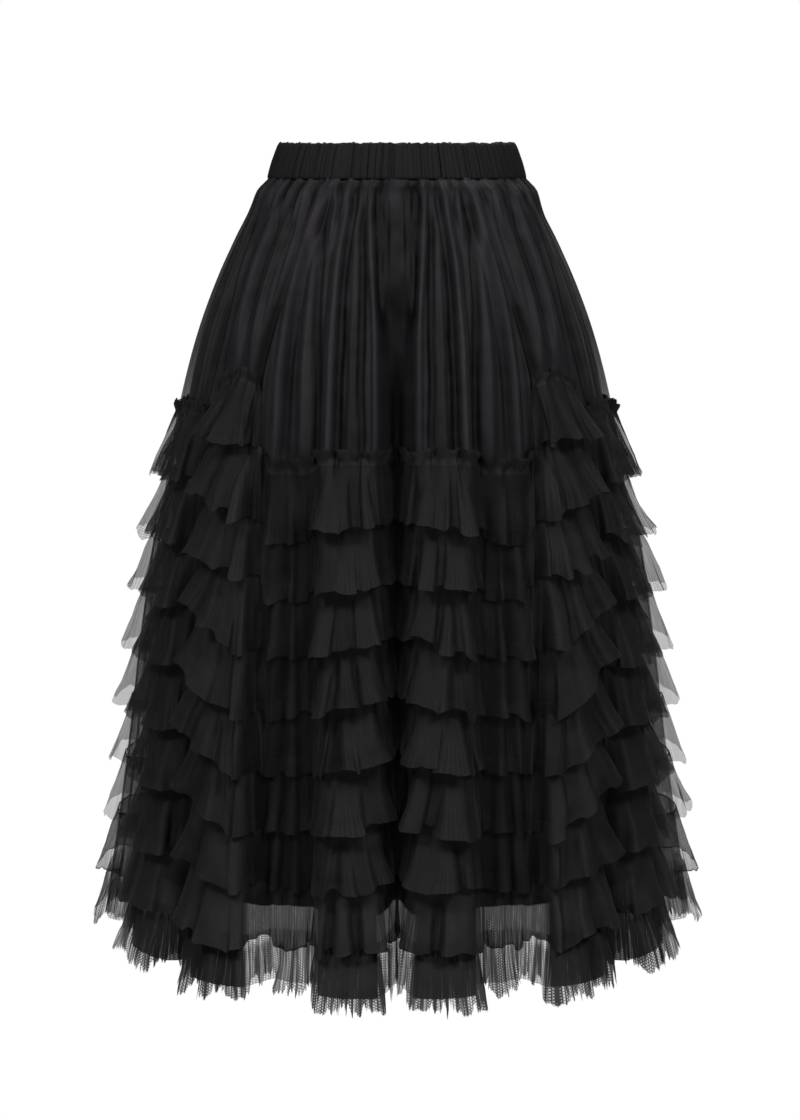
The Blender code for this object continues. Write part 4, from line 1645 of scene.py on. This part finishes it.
class SKIRT_OT_stage(bpy.types.Operator):
    """Set the pale floor, the soft lamps and the camera"""

    bl_idname = "skirt.stage"
    bl_label = "Stage"

    def execute(self, context):
        stage = context.scene.skirt_stage
        floor = Finish("pale_floor")
        mottle = floor.noise(floor.add("ShaderNodeTexCoord").outputs["Object"], FLOOR_SPOTS)
        pale = np.array(stage.floor_colour)
        floor.into("Base Color", floor.colours(mottle, FLOOR_SHADE * pale, pale))
        floor.shader.inputs["Roughness"].default_value = FLOOR_ROUGHNESS
        ground = bmesh.new()
        bmesh.ops.create_circle(
            ground, cap_ends=True, segments=FLOOR_SIDES, radius=stage.floor_radius
        )
        bmesh.ops.translate(ground, verts=ground.verts, vec=(0, 0, -stage.floor_drop))
        mesh = bpy.data.meshes.new("floor")
        ground.to_mesh(mesh)
        ground.free()
        mesh.materials.append(floor.made)
        piece = bpy.data.objects.new("floor", mesh)
        context.scene.collection.objects.link(piece)

        world = bpy.data.worlds.new("surround")
        context.scene.world = world
        world.use_nodes = True
        tree = world.node_tree
        soft = tree.nodes["Background"]
        white = tree.nodes.new("ShaderNodeBackground")
        for background, light in ((soft, stage.sky), (white, 1.0)):
            background.inputs["Color"].default_value = (1, 1, 1, 1)
            background.inputs["Strength"].default_value = light
        seen = tree.nodes.new("ShaderNodeLightPath")
        mixed = tree.nodes.new("ShaderNodeMixShader")
        tree.links.new(seen.outputs["Is Camera Ray"], mixed.inputs[0])
        tree.links.new(soft.outputs[0], mixed.inputs[1])
        tree.links.new(white.outputs[0], mixed.inputs[2])
        tree.links.new(mixed.outputs[0], tree.nodes["World Output"].inputs["Surface"])
        context.scene.view_settings.view_transform = "Standard"

        for name, place, size, setting in LAMPS:
            soft_lamp(name, place, size, getattr(stage, setting))

        lens = bpy.data.cameras.new("camera")
        lens.lens = LENS
        lens.sensor_width = SENSOR_WIDTH
        camera = bpy.data.objects.new("camera", lens)
        camera.location = (CAMERA_ACROSS, -stage.camera_distance, height_to_z(0.0))
        camera.rotation_euler = (np.radians(90 - CAMERA_TILT), 0, 0)
        context.scene.collection.objects.link(camera)
        context.scene.camera = camera
        context.scene.cycles.transparent_max_bounces = NET_LAYERS
        return {"FINISHED"}


class SKIRT_PT_pieces(bpy.types.Panel):
    """The skirt's pieces and settings"""

    bl_idname = "SKIRT_PT_pieces"
    bl_label = "Tulle skirt"
    bl_space_type = "VIEW_3D"
    bl_region_type = "UI"
    bl_category = "Tulle skirt"

    def draw(self, context):
        layout = self.layout
        for operator in OPERATORS:
            layout.operator(operator.bl_idname)
        for group in ("skirt_ruffles", "skirt_look", "skirt_stage"):
            box = layout.box()
            settings = getattr(context.scene, group)
            for name in settings.__annotations__:
                box.prop(settings, name)


SETTINGS = (
    ("skirt_ruffles", SkirtRuffles),
    ("skirt_look", SkirtLook),
    ("skirt_stage", SkirtStage),
)
OPERATORS = (
    SKIRT_OT_waistband,
    SKIRT_OT_overskirt,
    SKIRT_OT_lining,
    SKIRT_OT_ruffles,
    SKIRT_OT_top_ruffles,
    SKIRT_OT_stage,
)


def register():
    for name, group in SETTINGS:
        bpy.utils.register_class(group)
        setattr(bpy.types.Scene, name, bpy.props.PointerProperty(type=group))
    for operator in OPERATORS:
        bpy.utils.register_class(operator)
    bpy.utils.register_class(SKIRT_PT_pieces)


def unregister():
    bpy.utils.unregister_class(SKIRT_PT_pieces)
    for operator in reversed(OPERATORS):
        bpy.utils.unregister_class(operator)
    for name, group in reversed(SETTINGS):
        delattr(bpy.types.Scene, name)
        bpy.utils.unregister_class(group)


def main():
    register()
    bpy.ops.skirt.waistband()
    bpy.ops.skirt.overskirt()
    bpy.ops.skirt.lining()
    bpy.ops.skirt.ruffles()
    bpy.ops.skirt.top_ruffles()
    bpy.ops.skirt.stage()


if __name__ == "__main__":
    main()
